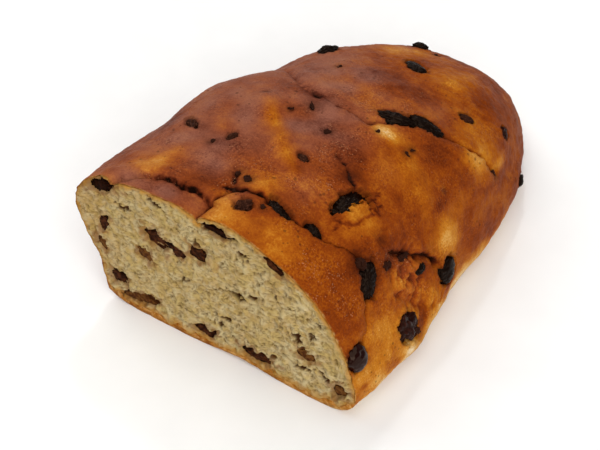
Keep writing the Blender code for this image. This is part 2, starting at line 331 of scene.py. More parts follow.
# laps of dough: path from left to right, height and reach of the lip beyond it and before it, the
# groove's depth and half width, how far a lip leans over it (the near lip, or the far one if
# negative), and how much shade is painted in the groove at the start and end of its path
folds = (
    (((-42, 1), (-31, 8), (-22, 9.5), (-13, 9), (-3, 7)), (1.5, 7), (-0.3, 6), (1.8, 1.9), -0.7, (-0.2, 2)),
    (((-5, -3), (-3.5, 6), (-1, 14), (3, 18), (9, 18), (17, 17), (31, 19), (38, 22),
      (45, 24), (51, 22), (58, 17), (65, 13), (69, 10), (71, 4)),
     (0.8, 7), (1.7, 9), (3.1, 1.9), 1.5, (2, 0.7)),
    (((-6, 76), (10, 75), (19, 88), (35, 95), (50, 103), (62, 107)),
     (0.6, 8), (1.5, 8), (2.5, 2.2), 0.8, (0.7, 1)),
    (((-40, 87), (-27, 80), (-15, 77)), (0.8, 8), (0.7, 8), (2.2, 3.8), 0.2, (0.1, 0.4)),
    (((12, 54), (19, 49), (27, 44)), (0.5, 5), (0.5, 5), (1.7, 1.6), 0.5, (0.6, 1.1)),
    (((51, 40), (54, 45), (60, 51), (64, 56), (69, 58)), (1.2, 5), (-0.4, 5), (3.4, 2.3), -1.1, (2, 2.6)),
    (((-4.5, 15), (1, 17.5), (5, 19.5), (10, 18), (14, 18.5)),
     (0.5, 4), (0.6, 4), (2.8, 2.8), 0.8, (3.4, 2.2)),
    (((-9.2, 26), (-5.2, 20.5), (-3.7, 16.5)), (0.4, 3), (0.4, 3), (1.3, 1.6), 0, (0.8, 1.8)),
    (((58, 33), (65, 32), (73, 38), (84, 50)), (0.5, 5), (0.7, 5), (1.2, 3), 0, (0.2, 0.2)),
)
# ridges where the dough was pulled tight: path, height, reach to each side
ridges = (
    (((-28, 64), (-18, 56), (-8, 47), (0, 40.5), (7, 36)), 0.8, 3),
    (((22, 73), (31, 69), (39, 66), (48, 66)), 0.45, 3.4),
)
# where the bottom of the cut lifts off the table: x, along, reach, height
lifts = ((11, 0, 12, 2), (-46, 2, 9, 0.8))
# noise that moves the folds off their paths: height and size of its two layers
wobble = ((1.3, 5), (0.8, 2.2))
# soft relief of the dough all over: height, size, level of the noise
doughWaves = ((0.55, 15, 46.5), (0.30, 6, 46.2))
crustMake = {
    "step": 0.72, "baseStep": 2.6,     # spacing of the mesh over the crust and over the flat base
    "capStart": 126, "capRows": 80,    # the round end
    "rind": 0.3, "rindBase": 2.7,      # thickness of the crust where the knife cut it
    "recess": 3.4, "recessIn": 1.3,    # the crumb sits in the crust this deep
    "pimples": (0.22, 2.6), "grain": (0.14, 1.5),  # height and size
    "poreSize": 2.4, "poreDepth": 0.35, "poreFewness": 0.8,
    "torn": (64, 42, 11, 9), "tornTurn": -55, "tornDepth": 1.9,  # crags beside the crack
    "nick": 0.25, "knifeEase": 2.5,    # how uneven the knife left the edge, and how far back
}


def smoothOutline(stepsPerSpan=24):
    # the section as a closed curve whose tangents allow for uneven spacing
    points = np.array(section) * (loafForm["width"] / 2, loafForm["height"])
    spans = np.roll(points, -1, axis=0) - points
    lengths = np.linalg.norm(spans, axis=1)[:, None]
    slopes = spans / lengths
    before = np.roll(slopes, 1, axis=0)
    beforeLength = np.roll(lengths, 1, axis=0)
    tangents = (slopes * beforeLength + before * lengths) / (lengths + beforeLength)
    curve = []
    t = np.linspace(0, 1, stepsPerSpan, endpoint=False)[:, None]
    for i in range(len(points)):
        j = (i + 1) % len(points)
        curve.append(
            (2 * t**3 - 3 * t**2 + 1) * points[i] + (t**3 - 2 * t**2 + t) * tangents[i] * lengths[i]
            + (3 * t**2 - 2 * t**3) * points[j] + (t**3 - t**2) * tangents[j] * lengths[i]
        )
    outline = np.concatenate(curve + [points[:1]])
    outline[:, 1] = np.maximum(outline[:, 1], 0)
    return outline


outline = smoothOutline()
outlineReach = np.concatenate([[0], np.cumsum(np.linalg.norm(np.diff(outline, axis=0), axis=1))])
perimeter = outlineReach[-1]


def closing(along, start, power):
    share = np.clip((along - loafForm[start]) / (loafLength - loafForm[start]), 0, 1)
    return (1 - share**loafForm[power]) ** (1 / loafForm[power])


def formAt(around, along):
    x, z = (np.interp(around % perimeter, outlineReach, outline[:, i]) for i in range(2))
    straight = np.clip(along / loafLength, 0, 1)
    crown = closing(along, "taperStart", "crownPower")
    low = np.where(z > tipHeight, crown, closing(along, "baseStart", "basePower"))
    return np.stack([
        x * closing(along, "taperStart", "planPower") + loafForm["endBend"] * straight**1.5,
        along + cutSkew * x * (1 - straight),
        tipHeight + (z - tipHeight) * low,
    ], -1)


def axesAt(around, along, step=0.5):
    # directions along, around and outwards
    along = np.minimum(along, loafLength - 1)
    forward = unit(formAt(around, along + step) - formAt(around, along - step))
    sideways = formAt(around + step, along) - formAt(around - step, along)
    outwards = unit(np.cross(sideways, forward))
    return forward, np.cross(forward, outwards), outwards


def besidePath(path, around, along):
    # signed distance from a path, positive beyond it, the direction away from it, and how far
    # down the path as a share
    best = np.full(around.shape, 1e9)
    side, down = np.zeros((2,) + around.shape)
    away = np.zeros(around.shape + (2,))
    for number, ((startX, startY), (endX, endY)) in enumerate(zip(path, path[1:])):
        spanX, spanY = endX - startX, endY - startY
        share = np.clip(((around - startX) * spanX + (along - startY) * spanY) / (spanX**2 + spanY**2), 0, 1)
        offsetX, offsetY = around - startX - share * spanX, along - startY - share * spanY
        distance = np.hypot(offsetX, offsetY)
        nearer = distance < best
        best = np.where(nearer, distance, best)
        side = np.where(nearer, np.sign(spanX * offsetY - spanY * offsetX), side)
        down = np.where(nearer, (number + share) / (len(path) - 1), down)
        direction = np.stack([offsetX, offsetY], -1) / np.maximum(distance, 1e-6)[..., None]
        away = np.where(nearer[..., None], direction, away)
    return best * side, away, down


def ridgesAt(around, along):
    return sum(high * bell(besidePath(path, around, along)[0] / reach) for path, high, reach in ridges)


def reliefAt(around, along):
    # height of the swells and folds, how much shade is painted in a crease, and the lean over a crease
    spots = onPlane(around, along)
    height = sum(high * bumps(onPlane(around, along, level), size) for high, size, level in doughWaves)
    height += patches(swells, around, along)
    shiftX, shiftY = (sum(high * bumps(spots, size, seed + i) for i, (high, size) in enumerate(wobble))
                      for seed in (1, 3))
    around, along = around + shiftX, along + shiftY
    height += ridgesAt(around, along)
    creaseShade = np.zeros_like(around)
    lean = np.zeros(around.shape + (2,))
    for path, (farLip, farReach), (nearLip, nearReach), (depth, halfWidth), over, shadeEnds in folds:
        side, away, down = besidePath(path, around, along)
        lip = np.where(side > 0, farLip * bell(side / farReach), nearLip * bell(side / nearReach))
        # a sharp fold at the bottom of a softer valley
        groove = 0.5 * bell(side / halfWidth) + 0.65 * np.exp(-np.abs(side) / (0.3 * halfWidth))
        height += lip - depth * groove
        shade = shadeEnds[0] + (shadeEnds[1] - shadeEnds[0]) * down
        creaseShade = np.maximum(creaseShade, bell(side / (0.42 * halfWidth)) * min(depth / 2.2, 1) * shade)
        leaning = side < 0 if over > 0 else side > 0
        lean -= away * (abs(over) * bell((np.abs(side) - 1.2) / 1.6) * leaning)[..., None]
    creaseShade *= np.clip(0.9 + 1.7 * bumps(spots, 2.6, 9), 0.2, 1.4)  # the painted shade is broken up, so it lies here and there only
    return height, creaseShade, lean


def crustAt(around, along):
    around = np.where(around > perimeter / 2, around - perimeter, around)
    points = formAt(around, along)
    forward, sideways, outwards = axesAt(around, along)
    fade = smoothStep(0, loafForm["reliefFade"], points[..., 2])
    ending = np.clip((loafLength - along) / loafForm["endFade"], 0, 1)
    height, creaseShade, lean = reliefAt(around, along)
    points = points + outwards * (height * fade * ending)[..., None]
    points += sideways * (lean[..., 0] * fade)[..., None] + forward * (lean[..., 1] * fade)[..., None]
    points[..., 2] = np.maximum(points[..., 2], 0)
    for x, far, reach, rise in lifts:
        points[..., 2] += rise * oval(points[..., 0], along, x, far, reach, reach) * (1 - fade)
    return points, (forward, sideways, outwards), np.clip(creaseShade, 0, 1) * fade


def placesOf(marks):
    # points on the crust for around and along, each with a direction turned from the loaf's
    # length and the one outwards
    points, (forward, sideways, outwards), _ = crustAt(marks[:, 0] % perimeter, marks[:, 1])
    turn = np.radians(marks[:, 4])[:, None]
    return points, forward * np.cos(turn) + sideways * np.sin(turn), outwards


# ------ raisins: where they lie, as in the frame, and how they look

# around, along, length, width, turn from the loaf's length in degrees, and how proud it stands
crustRaisins = (
    (29.5, 38.5, 17, 8.2, 5, 1), (52.5, 24, 12.5, 5.4, 127, 1.2), (66.5, 50, 5.8, 3.6, 5, 0.9),
    (76.8, 63, 10.6, 5.2, -11, 1), (80, 33, 11, 6.4, 77, 1.1), (73.5, 6, 8.4, 7.6, 0, 2.2),
    (-7.5, 124, 12.4, 5.2, 110, 0.7), (-37, 147, 6.6, 5.4, 40, 2.5), (-43.5, 109.5, 10, 5.4, -3, 2),
    (14, 86, 7.2, 4.6, 65, 1), (24, 92.3, 11.2, 4.8, 69, 1), (31.3, 112.5, 7.8, 3.8, 50, 0.9),
    (52.8, 127.5, 5.6, 4, 118, 0.8), (89, 128.5, 6.2, 4.6, 170, 1.6), (4.3, 44, 4.8, 3.8, 122, 0.5),
    (-21.2, 38.5, 5.4, 3.6, 14, 0.5), (-38.7, 38, 8.4, 4.2, 115, 0.5), (5.3, 11, 5.8, 4.6, 17, 0.5),
    (14.8, 18.2, 12.6, 4.2, 104, 2), (27.5, 20, 7.2, 3.8, 98, 1.4),
)
# fruit that the knife went through: x, z, length, width, turn in degrees from level
cutRaisins = (
    (-45.5, 58.2, 12.4, 5.4, 21), (3, 62.2, 8.4, 4, -4), (25.4, 58.6, 8, 3.8, -38),
    (-22.6, 43.6, 10.6, 7.2, -38), (-14.4, 43, 6.8, 3.8, -30), (-6, 46.4, 8, 5.4, -5),
    (-28.2, 32.8, 7, 4.8, -38), (-46, 39.2, 8.5, 3.4, 78), (-47.6, 28.4, 7.4, 3.8, -56),
    (-42, 13.4, 7.6, 5.6, -24), (-32.4, 7.6, 16, 4.8, 14), (-4.4, 7.4, 9, 4.6, 0), (18, 8, 13.2, 5, -4),
    (37.4, 21.6, 8.2, 4.2, -10), (51.4, 11, 8.4, 5.2, 50),
)
raisinThickness = 0.86  # of the width
# how a raisin looks: shares of its length and width, how much prouder it stands and how far it
# is shifted in mm, its skin, and the values of the Geometry Nodes inputs: depth of the broad
# dents and of the wrinkles as shares of its size, wrinkles over its length, under 1 to run
# along it, and where a knife went, as a share of half its thickness (over 1 it stays whole)
plainLook = {
    "length": 1.05, "width": 1.08, "proud": 0, "shift": (0, 0), "Skin": "raisin", "Detail": 5,
    "Lumps": 0.16, "Wrinkle": 0.20, "Wrinkle size": 2.8, "Wrinkle across": 0.6, "Cut at": 2.0,
}
raisinLooks = {
    1: {"length": 1.0, "width": 1.35, "proud": -0.4, "Wrinkle size": 3.2},
    2: {"length": 1.14, "width": 1.6, "proud": 0.2, "Wrinkle size": 3.4, "Wrinkle across": 1.5},
    3: {"length": 1.1, "width": 1.15},
    4: {"length": 1.08, "width": 2.0, "Wrinkle": 0.10},
    5: {"length": 1.15, "width": 1.6, "Lumps": 0.40, "Wrinkle": 0.14, "Skin": "plum"},
    6: {"length": 1.15, "width": 1.4, "proud": 1.4, "shift": (-1.0, -0.8), "Skin": "glossy",
        "Lumps": 0.1, "Wrinkle": 0.04, "Wrinkle size": 1.2},
    7: {"width": 1.45, "Lumps": 0.08},
    10: {"length": 2.05, "width": 1.6, "proud": 0.3},
    11: {"length": 1.35, "width": 1.7, "proud": 0.3, "Wrinkle size": 3.4},
    12: {"length": 0.9, "width": 1.15, "shift": (1.5, 0.5), "Skin": "baked_in"},
    13: {"width": 1.7, "proud": -0.3, "Skin": "plum"},
    15: {"proud": -0.25, "Skin": "baked_in", "Lumps": 0.3},
    16: {"proud": -0.25, "Skin": "baked_in"},
    17: {"proud": -0.2, "Skin": "baked_in", "Lumps": 0.45},
    18: {"length": 1.25, "width": 1.3, "proud": -0.45, "Skin": "baked_in", "Lumps": 0.45, "Wrinkle": 0.3},
    19: {"width": 1.35, "Wrinkle": 0.28},
    20: {"width": 1.3, "Wrinkle": 0.28},
}
cutLook = {"Detail": 5, "Lumps": 0.26, "Wrinkle": 0.24, "Wrinkle size": 2.8, "Wrinkle across": 0.9,
           "Cut at": 0.55}
# cut fruit: shares of its length and width, and its skin
plainCut = (1.18, 1.35, "cut")
cutLooks = {
    # the gap skin colours cut fruit 1 and 2 near black: real fruit, painted as the shade of the cavity and
    # gap they lie in
    1: (1.0, 1.35, "gap"), 2: (1.5, 1.1, "gap"), 3: (1.45, 1.2, "cut"), 4: (1.4, 1.8, "cut"),
    5: (1.5, 1.8, "cut"), 6: (1.5, 1.5, "cut"), 7: (1.4, 1.6, "amber"), 9: (1.18, 1.35, "amber"),
    11: (1.18, 1.35, "amber"), 14: (1.18, 1.35, "amber"), 15: (0.85, 0.95, "amber"),
}
cutThickness = 0.6  # of the width
cutProud, cutSunk = 0.6, 0.4
insideMoves = {1: (0, -1.0), 3: (-0.8, -1.0)}  # keep cut fruit inside the crust: x, z
# buried fruit that only shows as a dark blister: around, along, reach, and how deep it dents
blisters = (
    (0.8, 62, 1.5, 0.3), (-11.7, 69, 1.3, 0.3), (-16.2, 62.5, 1.2, 0.2), (44.6, 37.5, 2.4, 0.4),
    (-2.7, 23.5, 1.9, 0.4), (-25.2, 31.5, 1.6, 0.3), (-30, 66, 1.5, 0.2), (48, 76, 1.4, 0.3),
)
# slivers of fruit too small to be nodes: around, along, length, width, turn from the loaf's
# length, and how far each stands out of the groove it lies in
fruitBits = (
    (45.3, 22.5, 5.6, 3, 70, 1.1), (53.3, 34, 4.8, 2.9, 25, 0.1), (56.5, 43.6, 6.5, 2.5, 15, 0.5),
    (63, 54.5, 4.5, 2.6, 25, 0), (69, 58, 3.4, 2.6, 0, 0), (84.4, 36, 6, 3.4, 50, 0),
    (-21.7, 147, 4.6, 1.2, 90, 0), (9.3, 75, 2.4, 1.8, 0, 0), (14.3, 72.5, 1.4, 1.1, 0, 0),
    (28.3, 77, 3.2, 1.2, 51, 0), (28.3, 73, 2.6, 1.4, 68, 0), (62.8, 107, 3.9, 1.9, 72, 0),
    (21.3, 48, 3.5, 2.2, 106, 0), (1.3, 61.5, 3.2, 2.1, 0, 0), (-12.2, 69.5, 5.7, 1.7, 138, 0),
    (-16.7, 63.5, 3, 1.1, 40, 0), (-24.7, 32.5, 2.6, 1.2, 0, 0), (10.3, 14, 2, 1.7, 0, 0),
    (-3.2, 17.5, 3.4, 1.9, 39, 0), (-7.2, 24.5, 5.1, 1.6, -17, 0), (-2.7, 23.5, 4.1, 2.1, 135, 0),
    (-26.2, 99.5, 2.9, 1.4, 0, 0),
)
sliverMake = {"length": 0.95, "width": 1.05, "thickness": 0.40, "sunk": 0.13,  # as shares
              "rough": 2.1, "dent": 0.35}


def lookOf(number):
    return {**plainLook, **raisinLooks.get(number, {})}


def crustRaisinPlaces():
    marks = np.array(crustRaisins)
    marks[:, :2] += [lookOf(number)["shift"] for number in range(1, len(marks) + 1)]
    return placesOf(marks)


# ------ crust

# Places on the crust below are around, along, reach around, reach along and strength.
# paler, where the dough stretched as it rose
goldPlaces = (
    (-34, 12, 5, 4, 2.6), (-35, 14, 9, 8, 0.4), (-25, 60, 9, 9, 0.3), (-6, 46, 5, 12, 0.15),
    (-4, 9, 6, 4, 1.1), (-25, 61.5, 3.5, 3.5, 0.8), (-1, 42, 2, 4, 0.6), (0.5, 4, 4, 4, 1.6),
    (9, 4, 5, 4, 0.7), (40, 117, 8, 6, 1.1), (-27, 135, 9, 7, 2), (3, 90.5, 7, 4, 1), (44, 150, 6, 5, 0.8),
    (33.5, 37, 5, 5, 1.3), (16, 35, 4, 4, 0.6), (85.5, 29, 5, 4, 0.9), (-49, 2, 4, 3, 0.6),
    (25, 78, 4, 3, 0.6), (-23, 43, 6, 5, 0.6), (78, 40.5, 7, 6, 1.5), (87, 25.5, 8, 6, 0.7),
    (79, 6, 4, 4, 1.6), (24, 4, 8, 4, 0.5), (31, 76, 4, 4, 0.5), (38, 29, 4, 3, 0.4), (4, 22, 6, 3.5, 1),
    (73, 84, 7, 14, 0.35), (24, 8, 13, 6, 1), (36, 36, 5, 5, 0.8), (64.5, 67, 6, 5.6, 2.7),
    (17, 77, 6, 3.5, 1.7), (50, 101, 8, 8, 2.2), (44, 89, 5, 4, 0.5), (42, 66, 7, 7, 0.5),
    (57, 112, 5, 7, 0.8), (33, 68, 7, 6, 0.7), (11, 131, 11, 7, 2), (75, 19, 8, 9, 2.2), (34, 36, 4, 4, 2),
    (-24, 135, 20, 12, 0.5), (88, 8, 9, 8, 1.6), (3, 83, 7, 5, 0.6), (60, 35, 5, 5, 0.7),
    (82, 11, 8, 7, 1.2), (74, 30, 7, 6, 0.7), (-46, 4, 12, 5, 0.6), (34, 110, 8, 7, 0.35),
    (7, 52, 4, 6, 0.25), (83, 48, 7, 7, 0.9), (40, 100, 14, 5, 0.5),
)
# where it hardly browned
creamPlaces = (
    (91, 34, 8, 7, 0.2), (16, 74, 6.5, 3.2, 0.95), (50, 99, 4, 4, 0.2), (60.8, 113.5, 3.2, 5.5, 0.8),
    (92, 12, 6, 8, 0.15), (85, 11, 7, 8, 0.12), (46, 96, 3, 2, 0.3), (63.5, 67, 4.5, 4.5, 0.45),
)
# where it is darker: partly where it baked darker, partly painted shade in the notch, the valleys and beside
# folds and ridges
darkPlaces = (
    (18, 34, 5, 6, 0.8), (51, 72, 4, 6, 0.5), (-6, 8, 3.5, 3, 1.2), (-4, 5, 1.5, 3, 0.5),
    (-24, 33, 8, 5, 0.3), (-20, 37, 7, 6, 0.3), (-10, 12, 5, 4, 0.35), (14, 53, 7, 5, 0.6),
    (20, 49, 5, 5, 0.8), (46, 27, 9, 7, 0.5), (52, 38, 7, 5, 0.8), (52, 78, 3, 8, 0.25),
    (75, 88, 6, 9, 0.25), (50.8, 69.5, 2, 4.5, 0.6), (8, 90, 8, 3, 0.3), (65, 127, 6, 10, 0.5),
    (71, 50, 4, 4, 0.6), (0, 79, 5, 3, 0.6), (-13, 107, 6, 5, 0.6), (23, 27, 4, 4, 0.6),
    (-41, 3, 8, 4, 0.7), (-35, 28, 6, 6, 0.4), (-33, 38, 3, 3, 0.7), (87, 6, 3, 3, 0.5),
    (87.5, 42, 5, 5, 0.8), (44, 103.5, 3.5, 3, 1.1), (9, 106, 14, 5, 0.5), (-21, 76, 14, 3.5, 0.9),
    (-4, 63, 8, 7, 0.4), (54, 124, 4, 8, 0.6), (43, 138, 20, 6, 0.1), (-11, 104, 9, 5, 0.5),
    (-22, 117, 10, 5, 0.4), (30, 130, 14, 8, 0.3), (36, 88, 10, 6, 0.15), (57, 44, 4, 4, 0.8),
    (67, 40, 5, 4, 0.3), (24, 21, 8, 4, 0.5), (76, 95, 8, 16, 0.15), (14, 66, 6, 12, 0.4),
    (46, 20, 12, 5, 0.4), (-48, 38, 8, 12, 0.2), (85, 5, 1.2, 2.5, 1.6),
)
# painted sheen: where the crust is turned bluish brown, as a painted reflection of the light from above and
# behind
paintedSheenPlaces = (
    (-7, 76, 25, 40, 0.4), (-24, 4, 16, 5, 1), (-18, 28, 12, 9, 0.8), (-38, 30, 14, 14, 0.6),
    (-20, 46, 10, 10, 0.7), (-40, 62, 16, 16, 0.7), (-25, 90, 16, 12, 0.9), (-10, 100, 10, 10, 0.5),
    (-34, 106, 12, 10, 0.7), (-6, 56, 8, 8, 0.6), (3, 66, 8, 8, 0.5), (-10, 72, 8, 6, 0.6),
    (3, 13, 5, 4, 0.5), (10, 32, 10, 8, 0.25), (24, 104, 6, 8, 0.3), (4, 50, 8, 4, 0.4),
    (-34, 12.5, 6, 5, -0.6),
)
# where the glaze dried in specks, with pale flecks that are partly painted glints
speckPlaces = (
    (40, 9, 16, 8, 1), (56, 18, 8, 5, 0.5), (10, 60, 8, 18, 0.6), (-4, 30, 12, 8, 0.5), (16, 33, 8, 8, 0.6),
    (-2, 84, 14, 4, 0.9), (16, 94, 10, 4, 0.7), (-10, 20, 10, 6, 0.5), (60, 40, 8, 6, 0.7),
    (47, 33, 5, 5, 0.6),
)
# where the dough was drawn into ridges: around, along, reach, reach, direction in degrees, height
drawnPlaces = (
    (81, 48, 7, 11, -36, 0.7), (15, 32, 13, 7, -16, 0.32), (46, 7, 22, 5, 0, 0.16),
    (-8, 46, 8, 12, -70, 0.25), (-14, 84, 14, 6, -8, 0.25), (30, 122, 20, 10, 20, 0.22),
    (40, 92, 12, 8, 20, 0.2), (-28, 22, 14, 10, 10, 0.18),
)
# how dark it baked, with some painted shade and highlight, where 0 is cream and 1 is nearly black:
# the plain crust, and how much each kind of place is paler or darker
bakeMake = {"plain": 0.54, "gold": 0.27, "cream": 0.3, "dark": 0.16, "drawn": 0.23, "torn": 0.62,
            "bottom": 0.35, "inside": 0.4}
# the pocket round a raisin, in units of its half size: where its edge falls, where the stain
# fades, and its lip; the lip's height and the pocket's depth are shares of the raisin's width
socketMake = {"edge": (0.86, 1.02), "stain": (0.95, 1.25), "lipAt": 1.12, "lipReach": 0.16,
              "lipHeight": 0.06, "lipMost": 0.35, "depth": 0.42, "gap": 0.4}
# a torn flap of crust covers the lower side of the largest raisin, and stands up this much
flapLift = 1.6


def crustStops():
    # where the mesh's columns and rows run
    onBase = (outline[:-1, 1] < 0.5) & (outline[1:, 1] < 0.5)
    weights = np.diff(outlineReach) / np.where(onBase, crustMake["baseStep"], crustMake["step"])
    columns = round(weights.sum())
    shares = np.concatenate([[0], np.cumsum(weights)]) / weights.sum()
    around = np.interp(np.arange(columns) / columns, shares, outlineReach)
    body = np.arange(0, crustMake["capStart"], crustMake["step"])
    rest = np.linspace(1, 0, crustMake["capRows"] + 1)[:-1]
    cap = loafLength - (loafLength - crustMake["capStart"]) * rest**1.7
    return around, np.concatenate([body, cap])


def ridgedNoise(u, v, stretch, size, seed):
    # noise folded at its middle, so that it makes ridges along u
    return np.abs(bumps(onPlane(u / stretch, v), size, seed))


def fineRelief(around, along, points):
    # fine height of the crust, and the parts of it that also colour it: drawn ridges and crags
    fine = sum(high * bumps(points, size, seed)
               for (high, size), seed in ((crustMake["pimples"], 5), (crustMake["grain"], 6)))
    pores, poreShare = cellsAt(points, crustMake["poreSize"], 2)
    fine -= crustMake["poreDepth"] * (poreShare > crustMake["poreFewness"]) * smoothStep(0.45, 0.75, pores)
    drawn = np.zeros_like(along)
    for middle, far, reachAround, reachAlong, degrees, high in drawnPlaces:
        u, v = turned(around, along, middle, far, degrees)
        place = oval(around, along, middle, far, reachAround, reachAlong)
        drawn += high * place * (0.7 - 4 * ridgedNoise(u, v, 5, 3.0, 7))
    torn = oval(around, along, *crustMake["torn"])
    u, v = turned(around, along, *crustMake["torn"][:2], crustMake["tornTurn"])
    crag = 0.5 - 2.2 * ridgedNoise(u, v, 1.9, 3.6, 8) + 1.3 * bumps(points, 1.9, 9)
    return fine + drawn + torn * crustMake["tornDepth"] * crag, drawn, torn, crag


def socketReach(points, centre, direction, outwards, length, width, seed):
    # how far the points lie from a raisin's middle, as a share of its ragged half size, and the
    # same along it and across it
    offset = points - centre
    u = offset @ direction / (length / 2)
    v = offset @ np.cross(outwards, direction) / (width / 2)
    ragged = 1 + 0.30 * bumps(points, 2.6, seed) + 0.22 * bumps(points, 1.2, seed + 3)
    return np.hypot(u, v) / ragged, u, v


def openSockets(points, creaseShade, fade):
    # opens a pocket with a lip round each raisin, and gives how much juice stained the crust
    centres, directions, normals = crustRaisinPlaces()
    stain = np.zeros(len(points))
    for number, (_, _, length, width, _, _) in enumerate(crustRaisins):
        centre, normal, look = centres[number], normals[number], lookOf(number + 1)
        near = np.flatnonzero(np.linalg.norm(points - centre, axis=1) < length * 1.3 + 4)
        reach, u, v = socketReach(points[near], centre, directions[number], normal,
                                  length * look["length"], width * look["width"], number)
        opening = 1 - smoothStep(*socketMake["edge"], reach)
        stained = 1 - smoothStep(*socketMake["stain"], reach)
        if number == 0:
            flapEdge = -0.05 + 0.8 * smoothStep(0.1, 0.8, u)
            flapEdge = flapEdge + 0.6 * bumps(points[near], 2.4, 21) + 0.5 * bumps(points[near], 1.1, 22)
            covered = smoothStep(-0.05, 0.12, -v - flapEdge)
            opening *= 1 - covered
            stained *= 1 - 0.9 * covered
            lift = covered * (1 - smoothStep(0.75, 1.2, reach)) * flapLift
            points[near] += normal * lift[:, None]
            # painted shade in the cleft behind the flap's edge
            flapCleftShade = 0.5 * bell((reach - 1.25) / 0.12) * smoothStep(0.2, -0.4, v)
            creaseShade[near] = np.maximum(creaseShade[near], flapCleftShade)
        lipHeight = min(socketMake["lipMost"], socketMake["lipHeight"] * width)
        lip = bell((reach - socketMake["lipAt"]) / socketMake["lipReach"]) * lipHeight
        depth = opening * (width * socketMake["depth"] + socketMake["gap"]) - lip
        points[near] -= normal * (depth * np.minimum(fade[near] + 0.3, 1))[:, None]
        stain[near] = np.maximum(stain[near], stained)
    return stain


def bakeAndShadeOf(around, along, points, drawn, torn, crag, ridged):
    # paler along the ridges: partly stretched crust, partly a painted highlight on their tops
    gold = patches(goldPlaces, around, along) + 0.30 * ridged * (1 + bumps(points, 5, 27))
    cream = np.clip(patches(creamPlaces, around, along), 0, 1)
    # the bottom stayed paler, higher up on the right flank
    bottomTop = 2.2 + 12.0 * bell((along - 64) / 60) * smoothStep(50, 70, around)
    bottomTop += 3.0 * bumps(points, 9, 14) + 1.4 * bumps(points, 3, 15)
    bake = bakeMake["plain"] + sum(high * bumps(points, size, seed) for high, size, seed in (
        (0.12, 17, 11), (0.09, 8, 12), (0.05, 3.5, 13)))
    bake -= bakeMake["gold"] * (1 - np.exp(-gold)) + bakeMake["cream"] * cream
    # the dark places: partly darker baking, partly painted shade
    bake += bakeMake["dark"] * patches(darkPlaces, around, along)
    # crags paler and furrows darker in the torn part: partly its own colour, partly painted shade in the
    # furrows
    bake -= bakeMake["drawn"] * drawn + bakeMake["torn"] * torn * np.clip(crag, -0.7, 0.25)
    bake -= bakeMake["bottom"] * (1 - smoothStep(-4.5, 2.4, points[:, 2] - bottomTop))
    return np.clip(bake, 0.02, 1)


def rindOf(rim):
    # the ring on the cut where the crust ends, and the one at the back of the crumb's recess
    tangent = np.roll(rim, -1, axis=0) - np.roll(rim, 1, axis=0)
    inwards = unit(np.stack([tangent[:, 2], np.zeros(len(rim)), -tangent[:, 0]], -1))
    if ((rim - rim.mean(0)) * inwards).sum() > 0:
        inwards = -inwards
    base = 1 - smoothStep(2, 10, rim[:, 2])
    thickness = crustMake["rind"] + (crustMake["rindBase"] - crustMake["rind"]) * base
    thickness = thickness * (1 + 1.1 * bumps(rim, 4, 18) + 0.5 * bumps(rim, 1.6, 19))
    inner = rim + inwards * thickness[:, None]
    inner[:, 1] = cutSkew * inner[:, 0] + 0.15
    deep = inner + inwards * crustMake["recessIn"]
    deep[:, 1] += crustMake["recess"]
    return inner, deep


def crustFaces(rows, columns):
    turn = np.arange(columns)
    after = (turn + 1) % columns
    last, inner, deep = (columns * row for row in (rows - 1, rows, rows + 1))
    middle = deep + columns
    faces = []
    for start in range(0, last, columns):
        faces += facesOf(start + turn, start + after, start + columns + after, start + columns + turn)
    faces += facesOf(turn, inner + turn, inner + after, after)
    faces += facesOf(inner + turn, deep + turn, deep + after, inner + after)
    faces += facesOf(deep + turn, middle, deep + after)
    return faces + facesOf(last + after, middle + 1, last + turn)


